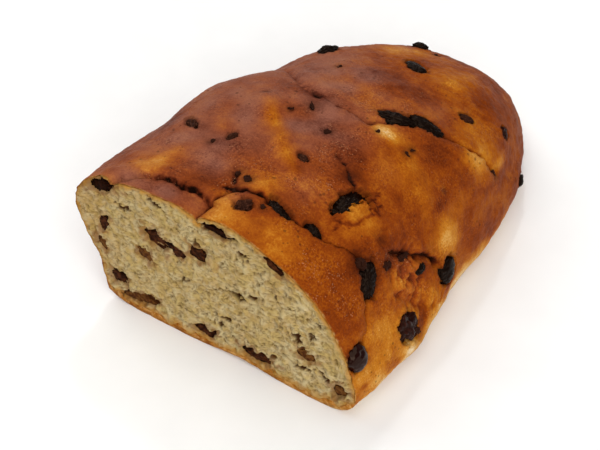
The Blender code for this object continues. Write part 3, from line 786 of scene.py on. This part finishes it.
def buildCrust(material):
    aroundStops, alongStops = crustStops()
    rows, columns = len(alongStops), len(aroundStops)
    along, around = (stops.ravel() for stops in np.meshgrid(alongStops, aroundStops, indexing="ij"))
    points, (_, _, outwards), creaseShade = crustAt(around, along)
    around = np.where(around > perimeter / 2, around - perimeter, around)
    fade = smoothStep(1, 8, points[:, 2])
    ending = np.clip((loafLength - along) / 5, 0, 1)
    fine, drawn, torn, crag = fineRelief(around, along, points)
    points = points + outwards * (fine * fade * ending)[:, None]
    stain = openSockets(points, creaseShade, fade)

    # the dents and dark rings round the slivers of fruit, and blisters over buried fruit
    rings = [(*bit[:2], (bit[2] + bit[3]) / 2.3, sliverMake["dent"]) for bit in fruitBits]
    for middle, far, reach, dent in rings + list(blisters):
        ring = bell(np.hypot(around - middle, along - far) / reach / (1 + 0.7 * bumps(points, 1.6, 26)))
        points -= outwards * (dent * ring * fade)[:, None]
        stain = np.maximum(stain, 1.2 * ring)

    ridged = ridgesAt(around, along)
    bake = bakeAndShadeOf(around, along, points, drawn, torn, crag, ridged)
    paintedSheen = np.clip(patches(paintedSheenPlaces, around, along) * (0.8 + 0.9 * bumps(points, 9, 16)), 0, 1)
    # more painted sheen on the upper left flank, which faces the light from the left, and less on the ridges
    paintedSheen = paintedSheen + 0.35 * smoothStep(-15, -45, around) * (points[:, 2] > 8) - 0.3 * ridged
    specks = patches(speckPlaces, around, along) + 0.15 + bumps(points, 7, 25)

    # the ring at the cut lies on the knife's plane, and the rows behind it ease back from it
    offPlane = points[:columns, 1] - cutSkew * points[:columns, 0]
    nick = crustMake["nick"] * bumps(points[:columns], 2.5, 17)
    points[:, 1] -= np.tile(offPlane - nick, rows) * np.exp(-along / crustMake["knifeEase"])
    inner, deep = rindOf(points[:columns])
    tip = formAt(np.array([0.0]), np.array([float(loafLength)]))
    tip[:, 1] = points[-columns:, 1].max() + 0.05
    tip[:, 0::2] = points[-columns:, 0::2].mean(0)

    added = 2 * columns + 2
    values = {"paintedSheen": np.clip(paintedSheen, 0, 1), "creaseShade": np.clip(creaseShade, 0, 1), "stain": stain,
              "torn": torn, "specks": np.clip(specks, 0, 1)}
    values = {name: padded(part, added) for name, part in values.items()}
    values["bake"] = padded(bake, added, bakeMake["inside"])
    values["rind"] = padded(padded(smoothStep(0.7, 0, along), added - 1, 1.0), 1)
    points = np.concatenate([points, inner, deep, deep.mean(0, keepdims=True), tip])
    return makePiece("crust_shell", points, crustFaces(rows, columns), material, values), inner


# ------ crumb

crumbMake = {
    "step": 0.32,
    "slab": 2.8, "slabIn": 1.8,   # thickness of the slab behind the cut, and how it narrows
    "flowCentre": (-12, -8),      # the cells run round this place, as the dough was rolled
    "flowReach": 52, "flowFlat": 1.15,
    "stretch": 1.55,              # length of a cell over its width
    "cells": 1.8, "fineCells": 0.8,
    "pitDepth": 1.15, "finePitDepth": 0.25, "curlHeight": 0.42, "holeDepth": 0.6,
    "waves": 0.55, "level": 0.12,
}
# waves of the cut face as shares of the above: height, size, seed
crumbWaves = ((1, 11, 34), (1.4, 4.5, 35), (1.2, 2.1, 41))
# the hollow a piece of fruit was cut from: reach as shares of its length and width, where its
# edge falls, its depth and how uneven that is, and where the stain round it fades
cutSocket = {"length": 0.58, "width": 0.66, "edge": (0.72, 1.02), "depth": 1.2, "uneven": 0.6,
             "stain": (0.8, 1.45)}
# torn holes in the crumb: x, z, reach in x, reach in z, turn, depth
crumbHoles = (
    (12.6, 56.8, 2.8, 1.3, -30, 2.2), (9.4, 35, 2.6, 1.3, -20, 2.2), (12, 36.4, 1.8, 0.9, -40, 1.6),
    (16.2, 38, 2.6, 1.2, -35, 2.2), (-21.8, 62, 3.2, 0.9, -20, 1.6), (2.2, 62, 5.6, 1.6, -9, 2.4),
    (34.4, 28.6, 1.6, 2.4, 15, 1.8), (36.6, 23.8, 1.9, 1.6, 0, 1.6), (37.8, 14.8, 3.2, 1, 12, 1.8),
    (45.6, 14.6, 2.6, 1, -40, 1.8), (-37.2, 52.4, 3, 1.2, -10, 1.6), (40, 33, 1.6, 0.9, -50, 1.2),
    (4.5, 20, 3, 1, -15, 1.5), (3, 15.6, 2, 1.4, 10, 1.4), (-10.5, 14, 3, 0.9, 0, 1.4),
    (-12, 30, 1.8, 1.2, 30, 1), (-6, 52, 1.4, 1.8, 10, 1.2), (26, 43, 2.2, 0.8, -50, 1.2),
    (24, 12, 1.8, 1, 20, 1.2), (42, 40, 1.8, 1, -50, 1.4),
)


def insideOutline(x, z, ring):
    # whether each place lies inside a closed ring of (x, z) points
    inside = np.zeros(x.shape, bool)
    for (x1, z1), (x2, z2) in zip(ring, np.roll(ring, -1, axis=0)):
        if z1 != z2:
            inside ^= ((z1 > z) != (z2 > z)) & (x < (x2 - x1) * (z - z1) / (z2 - z1) + x1)
    return inside


def nearestOnRing(places, ring, batch=4000):
    # nearest point of a dense ring for each place, and how far it is
    nearest = np.zeros_like(places)
    distance = np.zeros(len(places))
    for start in range(0, len(places), batch):
        part = places[start:start + batch]
        apart = np.linalg.norm(part[:, None] - ring[None], axis=2)
        index = apart.argmin(1)
        nearest[start:start + batch] = ring[index]
        distance[start:start + batch] = apart[np.arange(len(part)), index]
    return nearest, distance


def denseRing(ring, step):
    closed = np.vstack([ring, ring[:1]])
    reach = np.concatenate([[0], np.cumsum(np.linalg.norm(np.diff(closed, axis=0), axis=1))])
    spots = np.arange(0, reach[-1], step)
    return np.stack([np.interp(spots, reach, closed[:, i]) for i in range(2)], -1)


def crumbGrid(ring):
    # a square grid clipped to the ring, its outer points moved onto it
    step = crumbMake["step"]
    low, high = ring.min(0) - step, ring.max(0) + step
    x, z = np.meshgrid(*(np.arange(low[i], high[i], step) for i in range(2)), indexing="ij")
    flat = np.stack([x.ravel(), z.ravel()], -1)
    inside = insideOutline(flat[:, 0], flat[:, 1], ring)
    _, distance = nearestOnRing(flat[inside], ring[::2])
    keep = np.zeros(len(flat), bool)
    keep[np.flatnonzero(inside)[distance > 0.35 * step]] = True
    keep = keep.reshape(x.shape)
    cell = keep[:-1, :-1] & keep[1:, :-1] & keep[1:, 1:] & keep[:-1, 1:]
    for _ in range(4):  # a cell that hangs on by a corner goes
        framed = np.pad(cell, 1).astype(int)
        sides = framed[:-2, 1:-1] + framed[2:, 1:-1] + framed[1:-1, :-2] + framed[1:-1, 2:]
        cell &= sides >= 2
    index = np.arange(x.size).reshape(x.shape)
    quads = np.stack([index[:-1, :-1], index[1:, :-1], index[1:, 1:], index[:-1, 1:]], -1)[cell]
    used, compact = np.unique(quads, return_inverse=True)
    quads = compact.reshape(-1, 4)
    places = flat[used]
    sides = np.concatenate([quads[:, [i, (i + 1) % 4]] for i in range(4)]).tolist()
    edges = dict.fromkeys(map(tuple, sides))
    onward = {a: b for a, b in edges if (b, a) not in edges}
    start = next(iter(onward))
    loop = [start]
    while onward[loop[-1]] != start:
        loop.append(onward[loop[-1]])
    places[loop], _ = nearestOnRing(places[loop], ring)
    return places, quads, np.array(loop)


def crumbFlow(x, z, flat, rimDistance):
    # where each place lies in the rolled dough: the cells follow circles near the rim at the
    # upper right, and lie level in the rest
    centreX, centreZ = crumbMake["flowCentre"]
    rise = (z - centreZ) * crumbMake["flowFlat"]
    radius = np.hypot(x - centreX, rise) + 5 * bumps(flat, 14, 31) + 1.2 * bumps(flat, 4, 32)
    bearing = np.arctan2(rise, x - centreX)
    flow = onPlane(bearing * crumbMake["flowReach"] / crumbMake["stretch"], radius)
    rolled = smoothStep(12, 4, rimDistance) * smoothStep(-10, 8, x) * smoothStep(14, 26, z)
    rolled = rolled + 1.5 * bumps(flat, 5, 39) > 0.5
    return np.where(rolled[:, None], flow, flat[:, [0, 2, 1]] * (0.85, 1, 1))


def curlOf(flow, flat):
    # curled strands of dough between the hollows
    curled = flow * (0.8, 1, 1) + 0.5 * onPlane(bumps(flat, 2, 45), bumps(flat, 2, 46))
    strands = [1 - smoothStep(0, wide, np.abs(bumps(curled, size, seed)))
               for wide, size, seed in ((0.20, 3.8, 36), (0.22, 2.1, 47))]
    return np.maximum(strands[0], 0.8 * strands[1])


def buildCrumb(inner, material):
    ring = denseRing(inner[:, [0, 2]], 0.15)
    places, quads, loop = crumbGrid(ring)
    x, z = places.T
    _, rimDistance = nearestOnRing(places, ring[::2])
    flat = np.stack([x, np.zeros_like(x), z], -1)

    flow = crumbFlow(x, z, flat, rimDistance)
    inCell, cellShare = cellsAt(flow, crumbMake["cells"], 3)
    inFine, fineShare = cellsAt(flow * (1.2, 1, 1), crumbMake["fineCells"], 4)
    pit = smoothStep(0.06, 0.5, inCell) * (0.12 + 0.88 * cellShare**3)
    finePit = smoothStep(0.05, 0.5, inFine) * (0.3 + 0.7 * fineShare)
    softer = smoothStep(5, -25, x)  # the left half is closer and smoother
    pit *= np.clip((0.75 + 0.5 * bumps(flat, 9, 33)) * (1 - 0.45 * softer), 0.2, 1.3)
    curl = curlOf(flow, flat)
    height = crumbMake["waves"] * sum(high * bumps(flat, size, seed) for high, size, seed in crumbWaves)
    height -= crumbMake["pitDepth"] * pit + crumbMake["finePitDepth"] * finePit
    height += crumbMake["curlHeight"] * curl

    hole, stain = np.zeros((2, len(x)))
    for middleX, middleZ, reachX, reachZ, degrees, depth in crumbHoles:
        u, v = turned(x, z, middleX, middleZ, degrees)
        ragged = np.maximum(1 + 1.5 * bumps(flat, 1.5, 37), 0.05)
        opening = 1 - smoothStep(0.7, 1.1, np.hypot(u / reachX, v / reachZ) / ragged)
        height -= crumbMake["holeDepth"] * depth * opening
        hole = np.maximum(hole, opening * min(depth / 1.6, 1))
    for number, (middleX, middleZ, length, width, degrees) in enumerate(cutRaisins):
        u, v = turned(x, z, middleX, middleZ, degrees)
        ragged = 1 + 0.5 * bumps(flat, 3, 40 + number) + 0.2 * bumps(flat, 1.3, 60 + number)
        u, v = u / (length * cutSocket["length"]), v / (width * cutSocket["width"])
        reach = np.hypot(u, v) / ragged
        opening = 1 - smoothStep(*cutSocket["edge"], reach)
        depth = cutSocket["depth"] + cutSocket["uneven"] * bumps(flat, 2, 80)
        height = height * (1 - opening) - depth * opening
        reach = reach / (1 + 0.6 * bumps(flat, 2.2, 90 + number))
        stain = np.maximum(stain, 1 - smoothStep(*cutSocket["stain"], reach))

    # the crumb meets the rind level
    height = height * (0.25 + 0.75 * smoothStep(0, 0.7, rimDistance)) + crumbMake["level"]
    front = np.stack([x, cutSkew * x - height, z], -1)
    back = front[loop]
    back[:, [0, 2]] += crumbMake["slabIn"] * unit((front.mean(0) - back)[:, [0, 2]])
    back[:, 1] = cutSkew * back[:, 0] + crumbMake["slab"]
    count, ringSize = len(front), len(loop)
    turn = np.arange(ringSize)
    after = (turn + 1) % ringSize
    faces = quads.tolist() + facesOf(loop[after], loop[turn], count + turn, count + after)
    faces.append((count + turn).tolist())

    whitish = smoothStep(0, 0.5, bumps(flat, 6, 38)) * smoothStep(0, 30, x) + 0.4 * smoothStep(32, 12, z)
    whitish = np.maximum(whitish, oval(x, z, 42.5, 37, 3, 3))
    golden = smoothStep(16, 0, rimDistance) * smoothStep(-25, -45, x) * smoothStep(12, 24, z)
    values = {
        "rimDistance": rimDistance * (1 - 0.5 * smoothStep(10, 3, z)), "stain": stain, "hole": hole,
        "curl": curl, "whitish": whitish, "golden": golden, "flow": flow,
    }
    values = {name: padded(part, ringSize) for name, part in values.items()}
    # how much painted shade falls in the pits and holes
    values["pit"] = padded(np.clip(1.1 * pit + 0.3 * finePit + hole, 0, 1.5), ringSize, 1.0)
    return makePiece("crumb_face", np.concatenate([front, back]), faces, material, values)


# ------ raisins and small fruit

crestReach = 0.13  # of the noise, from a crease up to the full crest of the skin
cutFlatness = 0.82  # how much of what stands above the knife is pressed flat


def beadOf(tree, given, radius):
    inputs = {"Radius": radius, "Subdivisions": given["Detail"]}
    return addNode(tree, "GeometryNodeMeshIcoSphere", inputs=inputs, output="Mesh")


def raisinTree():
    # a wrinkled dried berry round the origin, its length on X
    kinds = {"Detail": "Int", "Length": "Float", "Width": "Float", "Thickness": "Float", "Seed": "Float",
             "Lumps": "Float", "Wrinkle": "Float", "Wrinkle size": "Float", "Wrinkle across": "Float",
             "Cut at": "Float", "Skin": "Material"}
    tree, given = startTree("raisin", kinds)
    place = addNode(tree, "GeometryNodeInputPosition")
    spot = vectors("ADD", place, combined(tree, given["Seed"], given["Seed"], given["Seed"]))
    dents = (noiseOf(spot, 1.1, detail=1.0) - 0.5) * 4.0 * given["Lumps"]
    stretched = vectors("MULTIPLY", spot, combined(tree, given["Wrinkle across"], 1.1, 1.1))
    folded = noiseOf(stretched, given["Wrinkle size"], detail=3.0, roughness=0.55, distortion=0.35)
    crest = easedOf((folded - 0.5).maths("ABSOLUTE"), 0.0, crestReach)
    grown = vectors("SCALE", place, dents + (crest - 1.0) * given["Wrinkle"] + 1.0)
    x, y, z = (addNode(tree, "ShaderNodeSeparateXYZ", inputs={0: grown}, output=i) for i in range(3))
    above = (z - given["Cut at"]).maths("MAXIMUM")
    moved = combined(tree, x * (given["Length"] * 0.5), y * (given["Width"] * 0.5),
                     (z - above * cutFlatness) * (given["Thickness"] * 0.5))
    shape = beadOf(tree, given, 1.0)
    for name, value in (("crest", crest), ("cut", above.maths("GREATER_THAN"))):
        shape = addNode(tree, "GeometryNodeStoreNamedAttribute", {"data_type": "FLOAT", "domain": "POINT"},
                        {"Geometry": shape, "Name": name, "Value": value})
    shape = addNode(tree, "GeometryNodeSetPosition", inputs={"Geometry": shape, "Position": moved})
    return finishTree(tree, shape, given["Skin"])


def bitTree():
    # sets a small lumpy bead on every point, turned and sized by the point's own values
    kinds = {"Points": "Geometry", "Detail": "Int", "Rough": "Float", "Rough size": "Float",
             "Skin": "Material"}
    tree, given = startTree("fruit_bits", kinds)
    outwards, direction, size = (
        addNode(tree, "GeometryNodeInputNamedAttribute", {"data_type": "FLOAT_VECTOR"}, {"Name": name})
        for name in ("outwards", "direction", "size"))
    turn = addNode(tree, "FunctionNodeAxesToRotation", {"primary_axis": "Z", "secondary_axis": "X"},
                   {0: outwards, 1: direction})
    placed = addNode(tree, "GeometryNodeInstanceOnPoints", inputs={
        "Points": given["Points"], "Instance": beadOf(tree, given, 0.5), "Rotation": turn, "Scale": size})
    placed = addNode(tree, "GeometryNodeRealizeInstances", inputs={"Geometry": placed})
    place = addNode(tree, "GeometryNodeInputPosition")
    lumpy = noiseOf(place, given["Rough size"], detail=1.0, output="Color")
    shift = vectors("SCALE", vectors("SUBTRACT", lumpy, (0.5, 0.5, 0.5)), given["Rough"])
    placed = addNode(tree, "GeometryNodeSetPosition", inputs={"Geometry": placed, "Offset": shift})
    return finishTree(tree, placed, given["Skin"])


def placeRaisin(name, tree, centre, direction, outwards, values, node):
    mesh = grow(name, tree, values)
    turn = Matrix((direction, np.cross(outwards, direction), outwards)).transposed().to_4x4()
    shift = Matrix.Translation((centre - np.array((0, loafLength / 2, 0))) * mm)
    mesh.transform(shift @ turn)
    piece = addObject(name, mesh)
    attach(piece, "root")
    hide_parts(node)


def sizesOf(length, width, thickness):
    return {"Length": length * mm, "Width": width * mm, "Thickness": thickness * mm}


def buildRaisins(skins):
    tree = raisinTree()
    places = zip(crustRaisins, *crustRaisinPlaces())
    for number, (raisin, centre, direction, outwards) in enumerate(places, 1):
        _, _, length, width, _, proud = raisin
        look = lookOf(number)
        sizes = sizesOf(length * look["length"], width * look["width"], width * raisinThickness)
        values = {**look, **sizes, "Seed": 3.7 * number - 2.7, "Skin": skins[look["Skin"]]}
        sunk = width * raisinThickness / 2 - proud - look["proud"]
        placeRaisin(f"crust_currant_{number:02d}", tree, centre - outwards * sunk, direction, outwards,
                    values, f"crust_raisin_{number:02d}")
    skew = math.atan(cutSkew)
    level = np.array((math.cos(skew), math.sin(skew), 0))
    outwards = np.array((math.sin(skew), -math.cos(skew), 0))
    for number, (x, z, length, width, degrees) in enumerate(cutRaisins, 1):
        longer, wider, skin = cutLooks.get(number, plainCut)
        moveX, moveZ = insideMoves.get(number, (0, 0))
        x, z = x + moveX, z + moveZ
        angle = math.radians(degrees)
        direction = level * math.cos(angle) + np.array((0, 0, math.sin(angle)))
        sunk = width * cutThickness / 2 - cutProud + cutSunk
        sizes = sizesOf(length * longer, width * wider, width * cutThickness)
        values = {**cutLook, **sizes, "Seed": 5.3 * number + 35, "Skin": skins[skin]}
        placeRaisin(f"crumb_currant_{number:02d}", tree, np.array((x, cutSkew * x, z)) - outwards * sunk,
                    direction, outwards, values, f"crumb_raisin_{number:02d}")
    print("raisins placed:", len(crustRaisins) + len(cutRaisins))


def buildSlivers(skin):
    marks = np.array(fruitBits, float)
    length, width, proud = marks[:, 2], marks[:, 3], marks[:, 5]
    points, direction, outwards = placesOf(marks)
    lifted = points + outwards * (proud - width * sliverMake["sunk"])[:, None]
    size = np.stack([length * sliverMake["length"], width * sliverMake["width"],
                     width * sliverMake["thickness"] + 2 * proud], -1)
    start = startMesh("sliver_places", lifted)
    addValues(start, {"outwards": outwards, "direction": direction, "size": size * mm})
    values = {"Detail": 4, "Rough": sliverMake["rough"] * mm, "Rough size": 800.0, "Skin": skin}
    piece = addObject("fruit_slivers", grow("fruit_slivers", bitTree(), values, start))
    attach(piece, "root")
    print("fruit slivers placed:", len(marks))


# ------ materials

def bakedCrustMaterial():
    # baked wheat crust with a milk glaze: satin with small glints, partly painted as pale flecks; cream over
    # gold to dark brown, with a painted bluish sheen and painted shade in the creases
    material, tree, shader = startMaterial("baked_glazed_crust")
    place = placeOf(tree)
    mottle = noiseOf(place, 1 / (3.0 * mm), detail=5.0, roughness=0.7)
    grain = noiseOf(place, 1 / (0.8 * mm), roughness=0.6)
    creaseShade, specks = attributeOf(tree, "creaseShade"), attributeOf(tree, "specks")
    tone = attributeOf(tree, "bake") + (mottle - 0.5) * 0.28 + (grain - 0.5) * (specks * 0.30 + 0.20)
    # painted shade: the creases darken towards black
    tone = tone.maths("ADD", creaseShade * 0.6, clamp=True)
    colour = rampOf(tone, (
        (0.00, "#E6D0AA"), (0.14, "#D2A055"), (0.27, "#BC7620"), (0.40, "#A15510"),
        (0.54, "#83390B"), (0.68, "#642709"), (0.84, "#3D1406"), (1.00, "#120704")))
    # painted reflection: a bluish sheen mixed into the colour where the painted sheen mark lies
    paintedSheenTone = rampOf(tone, ((0.25, "#A06A50"), (0.54, "#875443"), (0.75, "#5C2F24"), (0.95, "#1E0C07")))
    cutEdge = rampOf(mottle, ((0.38, "#703E12"), (0.5, "#A8702C"), (0.62, "#D6AA66")))
    for mark, share, tint in (("paintedSheen", 0.88, paintedSheenTone), ("stain", 0.5, "#2E120B"), ("torn", 0.30, "#A8502A"),
                              ("rind", 0.65, cutEdge)):
        colour = tinted(colour, mark, share, tint)
    # pinpricks of burnt sugar about 0.5 mm across
    few = noiseOf(place, 1 / (11 * mm)).maths("SUBTRACT", 0.40, clamp=True) * 0.75
    dotted = cellsOf(place, 1 / (3.0 * mm)).maths("LESS_THAN", few)
    colour = mixed(dotted * 0.5, colour, "#3B1C12")
    # dark flecks of dried glaze, and pale flecks that are partly dried glaze and partly painted glints,
    # about 0.4 mm across
    where = mottle.maths("SUBTRACT", 0.36, clamp=True) * 1.45 * specks
    for spacing, share, tint in ((0.8, 0.34, "#C48A62"), (1.15, 0.45, "#4A1D10")):
        flecked = cellsOf(place, 1 / (spacing * mm)).maths("LESS_THAN", where)
        colour = mixed(flecked * share, colour, tint)
    rough = (mottle * 0.25 + 0.36).maths("ADD", creaseShade * 0.25, clamp=True)
    low = bumpOf(mottle, 0.7, 0.3)
    setInputs(shader, {
        "Base Color": colour, "Roughness": rough, "Normal": bumpOf(grain, 0.9, 0.35, Normal=low),
        "Specular IOR Level": 0.03, "Specular Tint": (1.0, 0.55, 0.28, 1.0),
    })
    return material


def crumbMaterial():
    # open wheat crumb: dull, with cream cell walls round hollows darkened by painted shade
    material, tree, shader = startMaterial("open_wheat_crumb")
    place = placeOf(tree)
    flow = attributeOf(tree, "flow", "Vector")
    broad = noiseOf(place, 1 / (6 * mm), detail=3.0, roughness=0.6)
    mottle = noiseOf(flow, 1 / 1.5, roughness=0.6)
    fine = noiseOf(flow, 1 / 0.7, detail=3.0, roughness=0.65)
    colour = rampOf(broad, ((0.34, "#9C7A42"), (0.5, "#A28650"), (0.66, "#AA925C")))
    colour = tinted(colour, "whitish", 0.5, "#BBA87C")
    colour = tinted(colour, "golden", 0.6, "#96692C")
    # cell walls 0.1 to 0.2 mm thick between hollows 0.7 to 1.3 mm across
    hollows = [easedOf(cellsOf(flow, 1 / size, "DISTANCE_TO_EDGE"), 0.02, wall) * deep
               for size, wall, deep in ((1.25, 0.30, 0.42), (0.68, 0.34, 0.28))]
    patchy = easedOf(noiseOf(flow, 1 / 2.4, roughness=0.6), 0.40, 0.70)
    hollow = (hollows[0] + hollows[1]) * patchy
    # painted shade: the pits, holes and hollows darken towards olive brown, with random mottling on top, and
    # raised strands stay paler
    depth = attributeOf(tree, "pit") * 0.6 + hollow + (mottle - 0.5) * 1.5 + (fine - 0.5) * 0.9
    depth = (depth + attributeOf(tree, "curl") * -0.45).maths("ADD", 0.15, clamp=True)
    grit = noiseOf(place, 1 / (3.2 * mm), detail=1.0)
    walls = rampOf(grit, ((0.38, "#C2A86A"), (0.50, "#C9B282"), (0.62, "#D0C198")))
    colour = mixed(depth, mixed(0.45, colour, walls), "#5A431C")
    # painted shade deep in the torn holes
    hole = attributeOf(tree, "hole").maths("MULTIPLY", 0.95, clamp=True)
    colour = mixed(hole, colour, "#3C1C0A")
    edge = addNode(tree, "ShaderNodeMapRange", inputs={
        "Value": attributeOf(tree, "rimDistance") + broad * -2.4,
        "From Min": -1.2, "From Max": 0.7, "To Min": 0.85, "To Max": 0.0})
    colour = mixed(edge, colour, "#B07A2C")
    setInputs(shader, {
        "Base Color": tinted(colour, "stain", 0.6, "#74421A"), "Normal": bumpOf(fine - hollow, 0.6, 0.3),
        "Roughness": 0.82, "Specular IOR Level": 0.05, "Subsurface Weight": 0.15,
        "Subsurface Radius": (1.0, 0.7, 0.4), "Subsurface Scale": 0.8 * mm,
    })
    return material


def raisinMaterial(name, skin, crestColour, roughness, flesh=None, shine=0.08, dimples=0.6):
    # dried grape skin: dark, wrinkled and waxy, with a dusty bloom on its crests; flesh is the
    # darker and the paler colour where the knife went through
    material, tree, shader = startMaterial(name)
    bloom = noiseOf(placeOf(tree), 1 / (1.4 * mm), detail=3.0)
    colour = mixed(attributeOf(tree, "crest").maths("POWER", 2.0) * bloom, skin, crestColour)
    if flesh:
        colour = tinted(colour, "cut", 0.9, rampOf(bloom, ((0.40, flesh[0]), (0.62, flesh[1]))))
    setInputs(shader, {
        "Base Color": colour, "Normal": bumpOf(bloom, dimples, 0.2), "Roughness": roughness,
        "Specular IOR Level": shine, "Specular Tint": (1.0, 0.72, 0.5, 1.0),
    })
    return material


def floorMaterial():
    # matt paper backdrop: plain and pale
    material, tree, shader = startMaterial("matt_white_paper")
    fibre = noiseOf(placeOf(tree), 40.0)
    paper = rampOf(fibre, ((0.3, "#F4F3F1"), (0.7, "#F8F7F5")))
    setInputs(shader, {"Base Color": paper, "Roughness": 0.9})
    return material


# ------ camera, floor and light

view = {
    "turn": 38, "rise": 46,          # degrees from the cut towards the right, and above level
    "distance": 575, "lens": 96.1,
    "aim": (2.7, -37.8, 28.75),
}
lights = (
    # name, direction it stands in from the loaf, distance, size, watts
    ("window", (-0.8, 0.1, 0.9), 1.3, 1.0, 6),
    ("ceiling", (0.2, -0.2, 1.0), 1.6, 1.6, 9.5),
    ("front_card", (0.9, -0.8, 0.75), 1.4, 1.2, 11.5),
    ("small_lamp", (-0.36, 0.46, 0.81), 1.3, 0.14, 2.5),
)
backdropReach = 4.0  # metres to each side
skyStrength = 0.28


def buildCamera():
    turn, rise = math.radians(view["turn"]), math.radians(view["rise"])
    back = Vector((math.sin(turn) * math.cos(rise), -math.cos(turn) * math.cos(rise), math.sin(rise)))
    camera = addObject("camera", bpy.data.cameras.new("camera"))
    camera.data.lens = view["lens"]
    camera.data.sensor_width = 36
    camera.data.clip_start = 0.01
    camera.location = (Vector(view["aim"]) + back * view["distance"]) * mm
    camera.rotation_euler = back.to_track_quat("Z", "Y").to_euler()
    bpy.context.scene.camera = camera


def buildStage():
    mesh = bpy.data.meshes.new("backdrop")
    corners = [(x * backdropReach, y * backdropReach, 0) for x, y in ((-1, -1), (1, -1), (1, 1), (-1, 1))]
    mesh.from_pydata(corners, [], [(0, 1, 2, 3)])
    mesh.materials.append(floorMaterial())
    backdrop = addObject("backdrop", mesh)
    for name, direction, distance, size, watts in lights:
        lamp = addObject(name, bpy.data.lights.new(name, "AREA"))
        lamp.data.shape = "DISK"
        lamp.data.size = size
        lamp.data.energy = watts
        lamp.location = Vector(direction).normalized() * distance
        lamp.rotation_euler = Vector(direction).to_track_quat("Z", "Y").to_euler()
    world = bpy.data.worlds.new("studio")
    world.use_nodes = True
    setInputs(world.node_tree.nodes["Background"], {"Color": (1, 1, 1, 1), "Strength": skyStrength})
    bpy.context.scene.world = world


buildCamera()
buildStage()
print("camera, backdrop and lights set")

skins = {
    "raisin": raisinMaterial("dried_currant_skin", "#0E0503", "#22150D", 0.30),
    "plum": raisinMaterial("burst_raisin_skin", "#1E0704", "#36120B", 0.30),
    "baked_in": raisinMaterial("baked_in_currant", "#2C150D", "#573222", 0.5, shine=0.04),
    "glossy": raisinMaterial("syrup_wet_raisin", "#180202", "#200404", 0.11, shine=0.18, dimples=0.1),
    "cut": raisinMaterial("cut_raisin_flesh", "#1C0903", "#2E1409", 0.6, ("#260D04", "#4E2811"), 0.03),
    "amber": raisinMaterial("cut_sultana_flesh", "#3A1C0A", "#523013", 0.6, ("#48240C", "#6E461E"), 0.03),
    # near black: a raisin that also stands in as painted shade of the gap round it
    "gap": raisinMaterial("raisin_darkened_as_gap_shade", "#120401", "#200A03", 0.6, ("#150501", "#2A1005"), 0.02),
}
crust, innerRing = buildCrust(bakedCrustMaterial())
crumb = buildCrumb(innerRing, crumbMaterial())
for piece in (crust, crumb):
    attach(piece, "root")
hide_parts("loaf")
buildRaisins(skins)
buildSlivers(skins["baked_in"])
